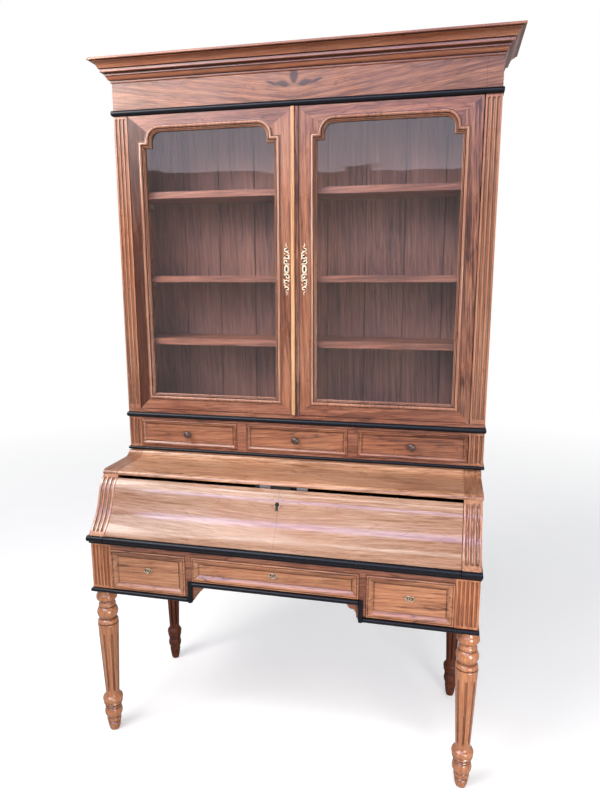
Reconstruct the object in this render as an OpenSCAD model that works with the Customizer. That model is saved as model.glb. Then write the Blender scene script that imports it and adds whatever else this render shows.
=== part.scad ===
// Walnut secretary bookcase on a fluted-leg desk: glazed bookcase and three small drawers above,
// an ogee fall front hinged on a pull-out writing slide, and three frieze drawers over a knee hole.
// Millimetres, +Z up, X to the right, front towards -Y. Origin on the floor under the middle of the
// object's bounding box.

/* [Overall] */
// Height from the floor to the top of the cornice
total_h = 2415; // [2405:5:2440]
// Depth from the wall to the nose of the desk moulding
total_d = 608; // [600:2:640]
// Width of the upper case across its sides
case_w = 1340; // [1330:2:1360]
// Depth of the upper case
case_d = 242; // [236:2:262]
// Width of the desk across its sides
desk_w = 1322; // [1316:2:1330]

/* [Mouldings] */
// Overhang of the cornice at the front
cornice_front = 71; // [60:1:76]
// Overhang of the cornice at each side
cornice_side = 55; // [48:1:64]
// How far the desk moulding stands in front of the drawer line
desk_nose = 23; // [20:1:24]
// How far the black mouldings stand out from the sides
side_nose = 5; // [3:1:7]

/* [Heights] */
// Top of the legs, which is the underside of the drawer case
leg_h = 574; // [560:2:580]
// Height of the frieze drawer case from the legs to the desk moulding
base_h = 183; // [181:1:186]
// Thickness of the desk top
desk_top_t = 16; // [14:1:18]
// Height of the cove that carries the upper case
cove_h = 18; // [14:1:22]
// Height of the small drawer tier, up to the doors' sill
tier_h = 164; // [162:1:168]

/* [Doors] */
// Gap round each door and drawer front
gap = 1.5; // [1.2:0.1:2]
// Thickness of the door frames
door_t = 22; // [20:1:24]
// Width of the stile between the case side and the glazing moulding
door_stile = 38; // [34:1:42]
// Width of the meeting stile up to the glazing moulding
meeting_stile = 52; // [48:1:56]
// Height of the rails below and above the glazing moulding
door_rails = [38, 33];
// Width of the glazing moulding
glazing_w = 23; // [18:1:26]
// Radius of the glazing moulding's rounded top corners
corner_r = 55; // [40:1:60]
// Width of the small ear beside each rounded corner
ear_w = 26; // [18:1:30]

/* [Legs] */
// Distance of the front legs' axes from the centre line
front_leg_x = 634; // [630:1:634]
// Distance of the rear legs' axes from the centre line
rear_leg_x = 598; // [590:1:604]
// Largest radius of a front leg, at its ball
leg_r = 37.5; // [34:0.5:40]

/* [Hidden] */
$fn = 48;
board = 20;
thin = 10;
case_x = case_w / 2;
desk_x = desk_w / 2;
back_y = total_d / 2;
nose_y = -total_d / 2;
base_y = nose_y + desk_nose;
case_y = back_y - case_d;

// Levels from the floor up
base_top = leg_h + base_h;
slide_z = [base_top + 9.5, base_top + 31];
ogee_z = base_top + 31;
desk_under = ogee_z + 184;
desk_top_z = desk_under + desk_top_t;
case_z = desk_top_z + cove_h;
tier_top = case_z + tier_h;
door_z = [tier_top + 2, total_h - 181.5];
frieze_z = total_h - 180;
cornice_z = total_h - 69;

// Horizontal stations
post_w = 74;
post_x = [desk_x - post_w, desk_x];
muntin_x = [287, 309];
end_x = [desk_x - 22, desk_x];
side_x = [case_x - board, case_x];
pilaster_w = 51;
door_x = [1, case_x - pilaster_w - 3.5];
slide_x = desk_x - 59.5;
corbel_x = [desk_x - 57.5, desk_x];
case_back_y = back_y - thin;
desk_back_y = back_y - board;
door_y = [case_y - 2, case_y - 2 + door_t];
rail_y = [base_y, base_y + board];
pivot_r = 2.5;
pivot_gap = 0.05;
pivot_x = door_x[1] - 6.5;
pivot_y = door_y[0] + 6.5;
lock_z = tier_top + 526;

// Drawers: [x range, z range] of each front
upper_z = [case_z + 21.5, tier_top - 44.5];
upper_fronts = [[-616, -230.5], [-191, 191], [230.5, 616]];
lower_z = [leg_h + 17, base_top - 20.5];
centre_z = [leg_h + 75.5, base_top - 20.5];
lower_x = [muntin_x[1] + gap, post_x[0] - gap];
centre_x = muntin_x[0] - gap;
upper_depth = 205;
lower_depth = 470;
lower_mid = [-(lower_x[0] + lower_x[1]) / 2, 0, (lower_x[0] + lower_x[1]) / 2];
lock_y = base_y + 10.5;
rail_bottom = leg_h + 58;
step_x = [285, 301];
step_nose = 12;
post_back = base_y + post_w;

// Legs: axis stations and the tenons that hold them, as [radius, length]
front_leg_y = base_y + 37;
rear_leg_y = back_y - 68;
tenon_r = 15;
front_tenon = [tenon_r, 28];
rear_tenon = [12, 11];

// Ogee: a convex shoulder above a concave flare, from the desk top's nose down to the moulding
shoulder_r = 115;
flare_r = 233;
ogee_angles = [55, 16, 52];
ogee_top = [base_y + 114, desk_under];
shoulder_c = ogee_top + shoulder_r * [cos(ogee_angles[0]), -sin(ogee_angles[0])];
flare_c = shoulder_c + (shoulder_r + flare_r) * [-cos(ogee_angles[1]), sin(ogee_angles[1])];
fall_t = 20;
corbel_t = 30;
fall_gap = 10;

fall_foot_z = ogee_z + 1.6;
fall_foot_y = flare_c[0] + sqrt(flare_r * flare_r - (flare_c[1] - fall_foot_z) * (flare_c[1] - fall_foot_z));

// Lock of the fall front: its two tongues across, and the middle of its sloping top edge
bolt_x = [[-75, -35], [35, 75]];
fall_start = asin((desk_under - fall_gap - shoulder_c[1]) / shoulder_r);
bolt_c = shoulder_c + (shoulder_r - 12) * [-cos(fall_start), sin(fall_start)];

// Shelves and gallery
shelf_t = 23;
shelf_z = [tier_top + 271, tier_top + 504, tier_top + 805];
gallery_y = [case_y - 50, desk_back_y - 2];
gallery_z = [ogee_z + 8, desk_under - 14];
gallery_t = 8;
gallery_x = end_x[0] - 2;
gallery_bay = (2 * gallery_x - gallery_t) / 5;
small_z = [gallery_z[0] + gallery_t + gap, gallery_z[0] + gallery_t + 58];

walnut = [0.55, 0.33, 0.19];
ebony = [0.06, 0.06, 0.07];
oak = [0.36, 0.24, 0.15];
brass = [0.62, 0.52, 0.32];
steel = [0.55, 0.55, 0.56];
knob_wood = [0.2, 0.13, 0.09];
pane = [0.75, 0.82, 0.84, 0.4];

// ---- shared geometry ----

// A block between two corners given as ranges
module block(x, y, z) {
    translate([x[0], y[0], z[0]]) cube([x[1] - x[0], y[1] - y[0], z[1] - z[0]]);
}

// The left-hand twin of a right-hand shape when side is -1
module on_side(side) {
    if (side > 0) children();
    else mirror([1, 0, 0]) children();
}

// A (y, z) outline carried along X
module along_x(x) {
    translate([x[0], 0, 0]) rotate([90, 0, 90]) linear_extrude(x[1] - x[0]) children();
}

// An (x, z) outline carried along Y
module along_y(y) {
    translate([0, y[1], 0]) rotate([90, 0, 0]) linear_extrude(y[1] - y[0]) children();
}

function arc(c, r, a0, a1, n) =
    [for (i = [0:n]) let(a = a0 + (a1 - a0) * i / n) c + r * [cos(a), sin(a)]];

// Points of a shallow arc from p to q that stands sag to the left of the straight line
function bow(p, q, sag, n) =
    let(len = norm(q - p), r = (len * len / 4 + sag * sag) / (2 * abs(sag)),
        left = [p[1] - q[1], q[0] - p[0]] / len,
        c = (p + q) / 2 + left * (sag - sign(sag) * r),
        a0 = atan2(p[1] - c[1], p[0] - c[0]),
        a1 = atan2(q[1] - c[1], q[0] - c[0]))
    arc(c, r, a0, a1 - 360 * round((a1 - a0) / 360), n);

function reversed(list) = [for (i = [len(list) - 1:-1:0]) list[i]];

// The ogee line set back by inset, from a start angle on the shoulder down past the foot
function ogee(inset, start) = concat(
    [for (i = [0:6]) let(a = start + (ogee_angles[1] - start) * i / 6)
        shoulder_c + (shoulder_r - inset) * [-cos(a), sin(a)]],
    [for (i = [1:8]) let(a = ogee_angles[1] + (ogee_angles[2] + 6 - ogee_angles[1]) * i / 8)
        flare_c - (flare_r + inset) * [-cos(a), sin(a)]]);

// Outline of a strip that follows the ogee between two depths
function ogee_strip(outer, inner, start) = concat(ogee(outer, start), reversed(ogee(inner, start)));

// A moulding that wraps the front and both sides, its (overhang, height) edge given for the front
module wrap(edge, x, y, z, side_share) {
    front = concat([for (p = edge) [y - p[0], z + p[1]]], [[back_y, z + edge[len(edge) - 1][1]], [back_y, z]]);
    right = [for (p = edge) [x + p[0] * side_share, z + p[1]]];
    left = [for (p = reversed(edge)) [-x - p[0] * side_share, z + p[1]]];
    intersection() {
        along_x([-x - edge_reach(edge), x + edge_reach(edge)]) polygon(front);
        along_y([y - edge_reach(edge), back_y]) polygon(concat(right, left));
    }
}

function edge_reach(edge) = max([for (p = edge) p[0]]) + 1;

// Edge of a black moulding: a flat run and a half-round nose
function nose_edge(reach, h) = concat([[0, 0]], arc([reach - h / 2, h / 2], h / 2, -90, 90, 8), [[0, h]]);

// A black moulding that wraps the front and both sides
module band(x, y, z, h, reach, side_reach) {
    difference() {
        wrap(nose_edge(reach, h), x, y, z, side_reach / reach);
        block([-x, x], [y, back_y + 1], [z - 1, z + h + 1]);
    }
}

// Round-ended flutes cut into a face that looks towards -Y
module flutes(centres, y, z, r, depth) {
    for (x = centres) translate([x, y - r + depth, 0]) {
        translate([0, 0, z[0] + r]) cylinder(r = r, h = z[1] - z[0] - 2 * r);
        translate([0, 0, z[0] + r]) sphere(r);
        translate([0, 0, z[1] - r]) sphere(r);
    }
}

// A drawer: moulded front with a sunk panel, and a dovetailed box behind it
module drawer(x, z, y, depth, drop) {
    rim = 15;
    sunk = 4;
    difference() {
        block(x, [y, y + board], z);
        block([x[0] + rim, x[1] - rim], [y - 1, y + sunk], [z[0] + rim, z[1] - rim]);
    }
    difference() {
        block([x[0] + gap, x[1] - gap], [y + board, y + depth], [z[0] + 1, z[1] - drop]);
        block([x[0] + gap + thin, x[1] - gap - thin], [y + board, y + depth - thin],
              [z[0] + 1 + thin, z[1]]);
    }
}

// ---- upper case ----

// Edge of the cornice: small ovolo, fillet, long cove and square lip
cornice_edge = concat(
    [[0, 0]], bow([2, 0], [17.5, 21.5], -4, 4), [[26, 21.5]],
    bow([26, 26], [59, 57], 3, 5), [[cornice_front, 60], [cornice_front, 69], [0, 69]]);

module cornice() {
    color(walnut) difference() {
        wrap(cornice_edge, case_x, case_y, cornice_z, cornice_side / cornice_front);
        block([-side_x[0], side_x[0]], [case_y + board, back_y + 1], [cornice_z - 1, total_h + 1]);
    }
}

module frieze() {
    color(walnut) difference() {
        block([-case_x, case_x], [case_y, case_y + door_t], [frieze_z, cornice_z]);
        for (side = [-1, 1]) translate([side * pivot_x, pivot_y, frieze_z - 1])
            cylinder(r = pivot_r + pivot_gap, h = 12);
    }
}

module case_top() {
    color(oak) block([-side_x[0], side_x[0]], [case_y + door_t, case_back_y], [cornice_z - 18, cornice_z]);
}

module case_side(side) {
    color(walnut) on_side(side) {
        block(side_x, [case_y + door_t, back_y], [case_z, cornice_z]);
        for (z = shelf_z) block([side_x[0] - 14, side_x[0]], [case_y + 40, case_back_y], [z - shelf_t - 18, z - shelf_t]);
    }
}

module case_back() {
    color(oak) block([-side_x[0], side_x[0]], [case_back_y, back_y], [case_z, cornice_z]);
}

module case_pilaster(side) {
    flute_x = [for (i = [-1:1]) case_x - pilaster_w / 2 + i * 14.5];
    color(walnut) on_side(side) {
        difference() {
            block([case_x - pilaster_w, case_x], [case_y, case_y + door_t], [tier_top, frieze_z]);
            flutes(flute_x, case_y, [tier_top + 14, frieze_z - 8], 5, 3.5);
        }
        difference() {
            block([case_x - pilaster_w, case_x], [case_y, case_y + door_t], [case_z, tier_top - board]);
            flutes(flute_x, case_y, [case_z + 20, tier_top - 42], 5, 3.5);
        }
    }
}

module case_bands() {
    color(ebony) {
        band(case_x, case_y, frieze_z, 19, 13, side_nose);
        band(case_x, case_y, tier_top - 34, 20, 10, side_nose);
        band(case_x, case_y, case_z, 12, 8.6, side_nose);
    }
}

// Bookcase floor, drawer dividers and bottom board around the three small drawers
module drawer_tier() {
    x = side_x[0];
    pilaster_x = case_x - pilaster_w;
    color(walnut) difference() {
        union() {
            block([-x, x], [case_y + door_t, case_back_y], [tier_top - board, tier_top]);
            block([-case_x, case_x], [case_y, case_y + door_t], [tier_top - board, tier_top]);
            block([-pilaster_x, pilaster_x], [case_y, case_y + door_t], [tier_top - 43, tier_top - board]);
            block([-x, x], [case_y + door_t, case_back_y], [case_z, case_z + board]);
            block([-pilaster_x, pilaster_x], [case_y, case_y + door_t], [case_z, case_z + board]);
            for (side = [-1, 1]) on_side(side)
                block([192.5, 229], [case_y, case_back_y], [case_z + board, tier_top - board]);
        }
        for (side = [-1, 1]) translate([side * pivot_x, pivot_y, tier_top - 10])
            cylinder(r = pivot_r + pivot_gap, h = 12);
    }
}

module shelf(z) {
    color(walnut) block([-side_x[0] + 1, side_x[0] - 1], [case_y + 30, case_back_y - 1], [z - shelf_t, z]);
}

// ---- doors ----

// Glazing outline of the right door, set in by d: square foot, ears and rounded top corners
function glazing(d) = let(
    x0 = meeting_stile + d, x1 = door_x[1] - door_stile - d,
    z0 = door_z[0] + door_rails[0] + d, z1 = door_z[1] - door_rails[1],
    ear = z1 - corner_r, r = corner_r - d)
    concat([[x0, z0], [x1, z0], [x1, ear - d], [x1 - ear_w, ear - d]],
        arc([x1 + d - ear_w - corner_r, ear], r, 0, 90, 6),
        arc([x0 - d + ear_w + corner_r, ear], r, 90, 180, 6),
        [[x0 + ear_w, ear - d], [x0, ear - d]]);

module glazing_ring(d, y) {
    difference() {
        along_y(y) polygon(glazing(d[0]));
        along_y([y[0] - 1, y[1] + 1]) polygon(glazing(d[1]));
    }
}

module door_frame(side) {
    color(walnut) on_side(side) difference() {
        union() {
            block(door_x, door_y, door_z);
            block([door_x[0], 19], [door_y[0] - 8, door_y[0]], door_z);
        }
        along_y([door_y[0] - 1, door_y[1] + 1]) polygon(glazing(8));
        for (z = [door_z[0] - 1, door_z[1] - 12]) translate([pivot_x, pivot_y, z])
            cylinder(r = pivot_r + pivot_gap, h = 13);
        block([0, side > 0 ? 32 : 14], [door_y[0] + 8.5, door_y[0] + 13.5], [lock_z - 7.5, lock_z + 7.5]);
    }
}

module door_glass(side) {
    color(pane) on_side(side) along_y([door_y[0] + 10, door_y[0] + 13]) polygon(glazing(8.3));
}

module door_moulding(side) {
    y = door_y[0];
    color(walnut) on_side(side) {
        glazing_ring([0, glazing_w], [y - 7, y]);
        glazing_ring([8.3, glazing_w], [y, y + 9.8]);
        glazing_ring([8.3, glazing_w], [y + 13.2, y + 20]);
    }
}

// Pierced brass keyhole plate: a keyed oval between chains of scroll rings and finials
module door_escutcheon(side) {
    color(brass) on_side(side) translate([32, door_y[0], lock_z]) rotate([90, 0, 0])
        linear_extrude(3) difference() {
            union() {
                circle(r = 11);
                for (end = [-1, 1]) scale([1, end]) {
                    for (i = [0:3]) translate([i % 2 == 0 ? 2.5 : -2.5, 18 + i * 17]) circle(r = 10);
                    translate([0, 81]) circle(r = 6);
                    translate([0, 88]) circle(r = 4);
                }
            }
            circle(r = 3);
            translate([-1.2, -8]) square([2.4, 7]);
            for (end = [-1, 1]) scale([1, end])
                for (i = [0:3]) translate([i % 2 == 0 ? 2.5 : -2.5, 18 + i * 17]) circle(r = 6);
        }
}

module door_lock_bolt() {
    color(steel) block([2, 30], [door_y[0] + 9, door_y[0] + 13], [lock_z - 7, lock_z + 7]);
}

// Pivot pins of both doors, each with a washer collar that carries the door
module door_pivots() {
    color(steel) for (side = [-1, 1]) translate([side * pivot_x, pivot_y, 0]) {
        translate([0, 0, tier_top - 9]) cylinder(r = pivot_r, h = 21);
        translate([0, 0, tier_top + 0.1]) cylinder(r = 5, h = 1.6);
        translate([0, 0, door_z[1] - 10]) cylinder(r = pivot_r, h = 21);
    }
}

// ---- small drawers under the doors ----

module upper_drawer(i) {
    color(walnut) drawer(upper_fronts[i], upper_z, case_y - 4, upper_depth, 10);
}

module knob(i) {
    x = (upper_fronts[i][0] + upper_fronts[i][1]) / 2;
    z = (upper_z[0] + upper_z[1]) / 2;
    edge = concat([[0, 0], [9, 0], [9, 2], [6, 4]], bow([5.5, 9], [8, 23], -6.5, 6), [[0, 25]]);
    color(knob_wood) translate([x, case_y, z]) rotate([90, 0, 0]) rotate_extrude() polygon(edge);
}

// ---- desk ----

// Carries a shape drawn with +Z along the fall front's surface to the middle of its top edge
module on_fall_edge() {
    translate([0, bolt_c[0], bolt_c[1]]) rotate([-fall_start, 0, 0]) children();
}

// Desk top with a rounded nose, a cove that climbs to the upper case and a keep for the lock
module desk_top() {
    keep_y = ogee_top[0] - 1;
    keep_z = desk_under - 16;
    outline = concat(
        [[back_y, desk_under], [back_y, case_z]],
        bow([case_y - 26, case_z], [case_y - 64, desk_top_z], 7, 5),
        arc([ogee_top[0] + desk_top_t, desk_under], desk_top_t, 90, 180, 6));
    color(walnut) difference() {
        union() {
            along_x([-desk_x - 3, desk_x + 3]) polygon(outline);
            block([-90, 90], [keep_y, keep_y + 20], [keep_z, desk_under]);
        }
        for (x = bolt_x) block([x[0] - 2, x[1] + 2], [keep_y - 1, keep_y + 12], [keep_z - 1, keep_z + 13]);
    }
}

// Side of the desk, from the legs up, with the ogee at its front edge
module end_panel(side) {
    outline = concat(ogee(corbel_t, ogee_angles[0]), [[post_back, base_top - 20], [post_back, leg_h],
                     [back_y, leg_h], [back_y, desk_under], ogee_top]);
    color(walnut) on_side(side) difference() {
        along_x(end_x) polygon(outline);
        block([end_x[0] - 1, desk_x + 1], [nose_y, post_back], [leg_h, ogee_z]);
    }
}

// Fluted ogee bracket at the end of the fall front, left plain at its foot
module corbel(side) {
    flute_w = 9;
    middle = (corbel_x[0] + corbel_x[1]) / 2;
    color(walnut) on_side(side) difference() {
        intersection() {
            along_x(corbel_x) polygon(ogee_strip(0, corbel_t, ogee_angles[0]));
            block([0, desk_x], [nose_y, back_y], [ogee_z, desk_under]);
        }
        intersection() {
            for (i = [-1:1]) along_x([middle + i * 16 - flute_w / 2, middle + i * 16 + flute_w / 2])
                polygon(ogee_strip(-5, 4, ogee_angles[0]));
            block([0, desk_x], [nose_y, back_y], [ogee_z + 12, desk_under - 9]);
        }
    }
}

module desk_back() {
    color(oak) block([-end_x[0], end_x[0]], [desk_back_y, back_y], [leg_h, desk_under]);
}

// Dust board over the frieze drawers, with the guide rails of the writing slide
module desk_floor() {
    top = slide_z[0] - 0.5;
    color(oak) {
        block([-post_x[0], post_x[0]], [rail_y[1], post_back], [top - board, top]);
        block([-end_x[0], end_x[0]], [post_back, desk_back_y], [top - board, top]);
        for (side = [-1, 1]) on_side(side)
            block([corbel_x[0], end_x[0]], [post_back, desk_back_y], [top, ogee_z]);
    }
}

// Pigeonhole gallery of five bays behind the fall front
module gallery() {
    color(walnut) {
        for (z = [gallery_z[0], gallery_z[1] - gallery_t])
            block([-gallery_x, gallery_x], gallery_y, [z, z + gallery_t]);
        for (i = [0:5]) translate([-gallery_x + i * gallery_bay, 0, 0])
            block([0, gallery_t], gallery_y, gallery_z);
        for (i = [0, 4]) translate([-gallery_x + i * gallery_bay, 0, 0])
            block([0, gallery_bay], gallery_y, [small_z[1] + gap, small_z[1] + gap + gallery_t]);
    }
}

module small_drawer(side) {
    x = [gallery_x - gallery_bay + gap, gallery_x - gallery_t - gap];
    y = gallery_y[0];
    color(walnut) on_side(side) {
        difference() {
            block(x, [y, gallery_y[1] - 20], small_z);
            block([x[0] + 8, x[1] - 8], [y + 10, gallery_y[1] - 28], [small_z[0] + 5, small_z[1] + 1]);
        }
        translate([(x[0] + x[1]) / 2, y, (small_z[0] + small_z[1]) / 2]) rotate([90, 0, 0])
            cylinder(r = 6, h = 10);
    }
}

// Writing board that slides out between the corbels
module writing_slide() {
    color(walnut) block([-slide_x, slide_x], [base_y, base_y + 440], slide_z);
}

module slide_band() {
    h = slide_z[1] - slide_z[0];
    color(ebony) along_x([-slide_x, slide_x])
        polygon([for (p = nose_edge(desk_nose, h)) [base_y - p[0], slide_z[0] + p[1]]]);
}

// Ogee fall front with the mortises of its lock in the top edge, on the bead it turns about
module fall_front() {
    color(walnut) {
        difference() {
            along_x([-slide_x, slide_x]) polygon(ogee_strip(0, fall_t, fall_start));
            block([-slide_x - 1, slide_x + 1], [2 * nose_y, 0], [leg_h, fall_foot_z]);
            on_fall_edge() for (x = bolt_x) block([x[0] - 1, x[1] + 1], [-3, 3], [-25, 1]);
        }
        translate([-slide_x, fall_foot_y, fall_foot_z]) rotate([0, 90, 0])
            cylinder(r = 1.2, h = 2 * slide_x);
    }
}

// The two lock tongues that rise out of the fall front's top edge
module fall_bolts() {
    color(steel) on_fall_edge() for (x = bolt_x) block(x, [-2.5, 2.5], [-24, -0.5]);
}

// ---- drawer case ----

// Fluted corner post that holds a front leg and carries the corbel
module base_post(side) {
    flute_x = [for (i = [-2:2]) (post_x[0] + post_x[1]) / 2 + i * 13];
    color(walnut) on_side(side) difference() {
        union() {
            block(post_x, [base_y, post_back], [leg_h, base_top]);
            block(corbel_x, [base_y, post_back], [base_top, ogee_z]);
        }
        flutes(flute_x, base_y, [leg_h + 22, base_top - 8], 4.2, 3);
        translate([front_leg_x, front_leg_y, leg_h - 1]) cylinder(r = tenon_r + pivot_gap, h = 31);
    }
}

// Ogee bracket in the upper corner of the knee hole, as an (x, z) outline
bracket = concat(
    [[muntin_x[0], rail_bottom], [muntin_x[0] - 40, rail_bottom]],
    bow([muntin_x[0] - 39, rail_bottom - 6], [muntin_x[0] - 19, rail_bottom - 20], -5, 4),
    bow([muntin_x[0] - 17, rail_bottom - 22], [muntin_x[0] - 9, rail_bottom - 44], 3, 4),
    [[muntin_x[0] - 3, leg_h + 3], [muntin_x[0], leg_h]]);

// Rails and muntins around the three frieze drawers, with the knee hole's two brackets
module base_front_frame() {
    inner = lower_x[0] - gap - 8;
    color(walnut) difference() {
        union() {
            block([-post_x[0], post_x[0]], rail_y, [lower_z[1] + gap, slide_z[0] - 0.5]);
            block([-muntin_x[0], muntin_x[0]], rail_y, [rail_bottom, centre_z[0] - gap]);
            for (side = [-1, 1]) on_side(side) {
                block(muntin_x, rail_y, [leg_h + 15, lower_z[1] + gap]);
                block([muntin_x[0], inner], rail_y, [leg_h, leg_h + 15]);
                along_y([rail_y[0] + 2, rail_y[1] - 2]) polygon(bracket);
            }
        }
        for (i = [0:2]) block([lower_mid[i] - 15, lower_mid[i] + 15], [lock_y - 4, lock_y + 4],
                              [lower_z[1], lower_z[1] + 12]);
    }
}

// Black mouldings of the desk: the ends beside the slide, and the stepped one under the drawers
module desk_bands() {
    color(ebony) {
        difference() {
            wrap([[0, 0], [8, 0], [8, 9.5], [0, 9.5]], desk_x, base_y, base_top, 0.4);
            block([-desk_x, desk_x], [base_y, back_y + 1], [base_top - 1, ogee_z]);
        }
        difference() {
            band(desk_x, base_y, slide_z[0] - 0.5, 22, desk_nose, side_nose);
            block([-slide_x - 2, slide_x + 2], [nose_y - 1, back_y], [base_top, ogee_z + 1]);
        }
        difference() {
            band(desk_x, base_y, leg_h, 15, step_nose, side_nose - 1);
            block([-step_x[1], step_x[1]], [nose_y, base_y], [leg_h - 1, leg_h + 16]);
        }
        for (side = [-1, 1]) on_side(side) translate([step_x[0], base_y, leg_h])
            linear_extrude(rail_bottom + 16 - leg_h)
                polygon([for (p = nose_edge(step_nose, step_x[1] - step_x[0])) [p[1], -p[0]]]);
        along_x([-step_x[0], step_x[0]])
            polygon([for (p = nose_edge(step_nose, 16)) [base_y - p[0], rail_bottom + p[1]]]);
    }
}

// Floor and knee-side panel of one side drawer
module housing(side) {
    x = step_x[1];
    color(walnut) on_side(side) {
        block([muntin_x[0], x], [rail_y[1], desk_back_y], [leg_h, slide_z[0] - 0.5 - board]);
        difference() {
            block([x, end_x[0]], [base_y, desk_back_y], [leg_h, leg_h + 15]);
            block([post_x[0], desk_x], [base_y - 1, post_back], [leg_h - 1, leg_h + 16]);
            translate([rear_leg_x, rear_leg_y, leg_h - 1]) cylinder(r = 12 + pivot_gap, h = 14);
        }
    }
}

module knee_ceiling() {
    color(walnut) block([-muntin_x[0], muntin_x[0]], [rail_y[1], desk_back_y], [rail_bottom + 2, centre_z[0] - gap]);
}

module lower_drawer(i) {
    z = i == 1 ? centre_z : lower_z;
    w = i == 1 ? centre_x : (lower_x[1] - lower_x[0]) / 2;
    color(walnut) difference() {
        drawer([lower_mid[i] - w, lower_mid[i] + w], z, base_y - 4, lower_depth, 10);
        block([lower_mid[i] - 14, lower_mid[i] + 14], [lock_y - 2.5, lock_y + 2.5], [z[1] - 24, z[1] + 1]);
    }
}

module lock_bolt(i) {
    color(steel) block([lower_mid[i] - 13, lower_mid[i] + 13], [lock_y - 2, lock_y + 2],
                       [lower_z[1] - 23, lower_z[1] - 1]);
}

// Turned leg: rounded foot, two rings, tapered shaft, ball between necks, and a top ring
module leg(x, y, ring, tenon) {
    shaft = [27, ring];
    edge = concat(
        [[0, 0], [14, 0]], bow([17, 2], [23, 18], -2, 3), [[24, 28], [24, 32], [22.5, 34], [26, 56]],
        bow([26, 70], [26, 95], -(leg_r - 29), 8), [[26, 106]],
        bow([27, 117], [27, 139], -(leg_r - 29), 8), [[shaft[0] - 1, 146]],
        [[shaft[1] - 1, 405]], bow([shaft[1], 408], [shaft[1] - 2, 419], -1, 3), [[27.5, 426], [27, 436]],
        bow([29, 438], [29, 484], -(ring - 29), 10), [[27.5, 486], [27.5, 494]],
        bow([29, 499], [29, 528], -(ring - 29.5), 8), [[27.5, 532], [28, leg_h], [0, leg_h]]);
    color(walnut) translate([x, y, 0]) {
        rotate_extrude() polygon(edge);
        translate([0, 0, leg_h - 1]) cylinder(r = tenon[0], h = tenon[1] + 1);
    }
}

cornice();
frieze();
case_top();
case_side(-1);  // case_side_left
case_side(1);  // case_side_right
case_back();
case_pilaster(-1);  // case_pilaster_left
case_pilaster(1);  // case_pilaster_right
case_bands();
drawer_tier();
shelf(shelf_z[0]);  // shelf_lower
shelf(shelf_z[1]);  // shelf_middle
shelf(shelf_z[2]);  // shelf_upper
desk_top();
end_panel(-1);  // end_panel_left
end_panel(1);  // end_panel_right
corbel(-1);  // corbel_left
corbel(1);  // corbel_right
desk_back();
desk_floor();
gallery();
base_post(-1);  // base_post_left
base_post(1);  // base_post_right
base_front_frame();
desk_bands();
housing(-1);  // housing_left
housing(1);  // housing_right
knee_ceiling();
leg(-front_leg_x, front_leg_y, leg_r, front_tenon);  // leg_front_left
leg(front_leg_x, front_leg_y, leg_r, front_tenon);  // leg_front_right
leg(-rear_leg_x, rear_leg_y, leg_r - 3, rear_tenon);  // leg_rear_left
leg(rear_leg_x, rear_leg_y, leg_r - 3, rear_tenon);  // leg_rear_right
door_pivots();
door_frame(-1);  // door_left_frame
door_glass(-1);  // door_left_glass
door_moulding(-1);  // door_left_moulding
door_escutcheon(-1);  // door_left_escutcheon
door_frame(1);  // door_right_frame
door_glass(1);  // door_right_glass
door_moulding(1);  // door_right_moulding
door_escutcheon(1);  // door_right_escutcheon
door_lock_bolt();
upper_drawer(0);  // upper_drawer_left
upper_drawer(1);  // upper_drawer_middle
upper_drawer(2);  // upper_drawer_right
knob(0);  // knob_left
knob(1);  // knob_middle
knob(2);  // knob_right
lower_drawer(0);  // lower_drawer_left
lower_drawer(1);  // lower_drawer_middle
lower_drawer(2);  // lower_drawer_right
lock_bolt(0);  // lock_bolt_left
lock_bolt(1);  // lock_bolt_middle
lock_bolt(2);  // lock_bolt_right
writing_slide();
slide_band();
fall_front();
fall_bolts();
small_drawer(-1);  // small_drawer_left
small_drawer(1);  // small_drawer_right
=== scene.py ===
import functools
import math

import bmesh
import bpy
from mathutils import Matrix, Vector


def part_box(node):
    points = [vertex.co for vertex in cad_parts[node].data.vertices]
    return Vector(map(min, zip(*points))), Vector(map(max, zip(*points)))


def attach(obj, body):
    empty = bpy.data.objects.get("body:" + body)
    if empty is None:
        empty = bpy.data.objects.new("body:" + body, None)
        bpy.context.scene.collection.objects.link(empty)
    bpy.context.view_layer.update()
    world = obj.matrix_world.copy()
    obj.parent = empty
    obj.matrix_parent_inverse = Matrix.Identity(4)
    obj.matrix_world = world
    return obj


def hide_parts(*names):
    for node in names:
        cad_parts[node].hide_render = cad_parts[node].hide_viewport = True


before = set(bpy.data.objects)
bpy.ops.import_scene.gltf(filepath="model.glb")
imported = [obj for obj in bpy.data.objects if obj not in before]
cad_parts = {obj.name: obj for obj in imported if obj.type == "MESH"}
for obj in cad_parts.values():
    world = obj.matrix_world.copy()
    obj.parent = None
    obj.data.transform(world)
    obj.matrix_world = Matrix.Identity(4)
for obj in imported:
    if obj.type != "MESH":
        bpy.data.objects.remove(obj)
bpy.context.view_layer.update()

# ---------------------------------------------------------------- stations of the frame, in metres

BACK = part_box("case_back")[1].y
CASE_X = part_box("case_side_right")[1].x
CASE_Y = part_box("frieze")[0].y
DESK_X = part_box("end_panel_right")[1].x
BASE_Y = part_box("base_front_frame")[0].y
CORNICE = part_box("cornice")
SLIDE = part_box("writing_slide")
DESK_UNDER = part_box("corbel_right")[1].z
DESK_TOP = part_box("desk_top")
CORBEL_X = (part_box("corbel_right")[0].x, DESK_X)

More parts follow.
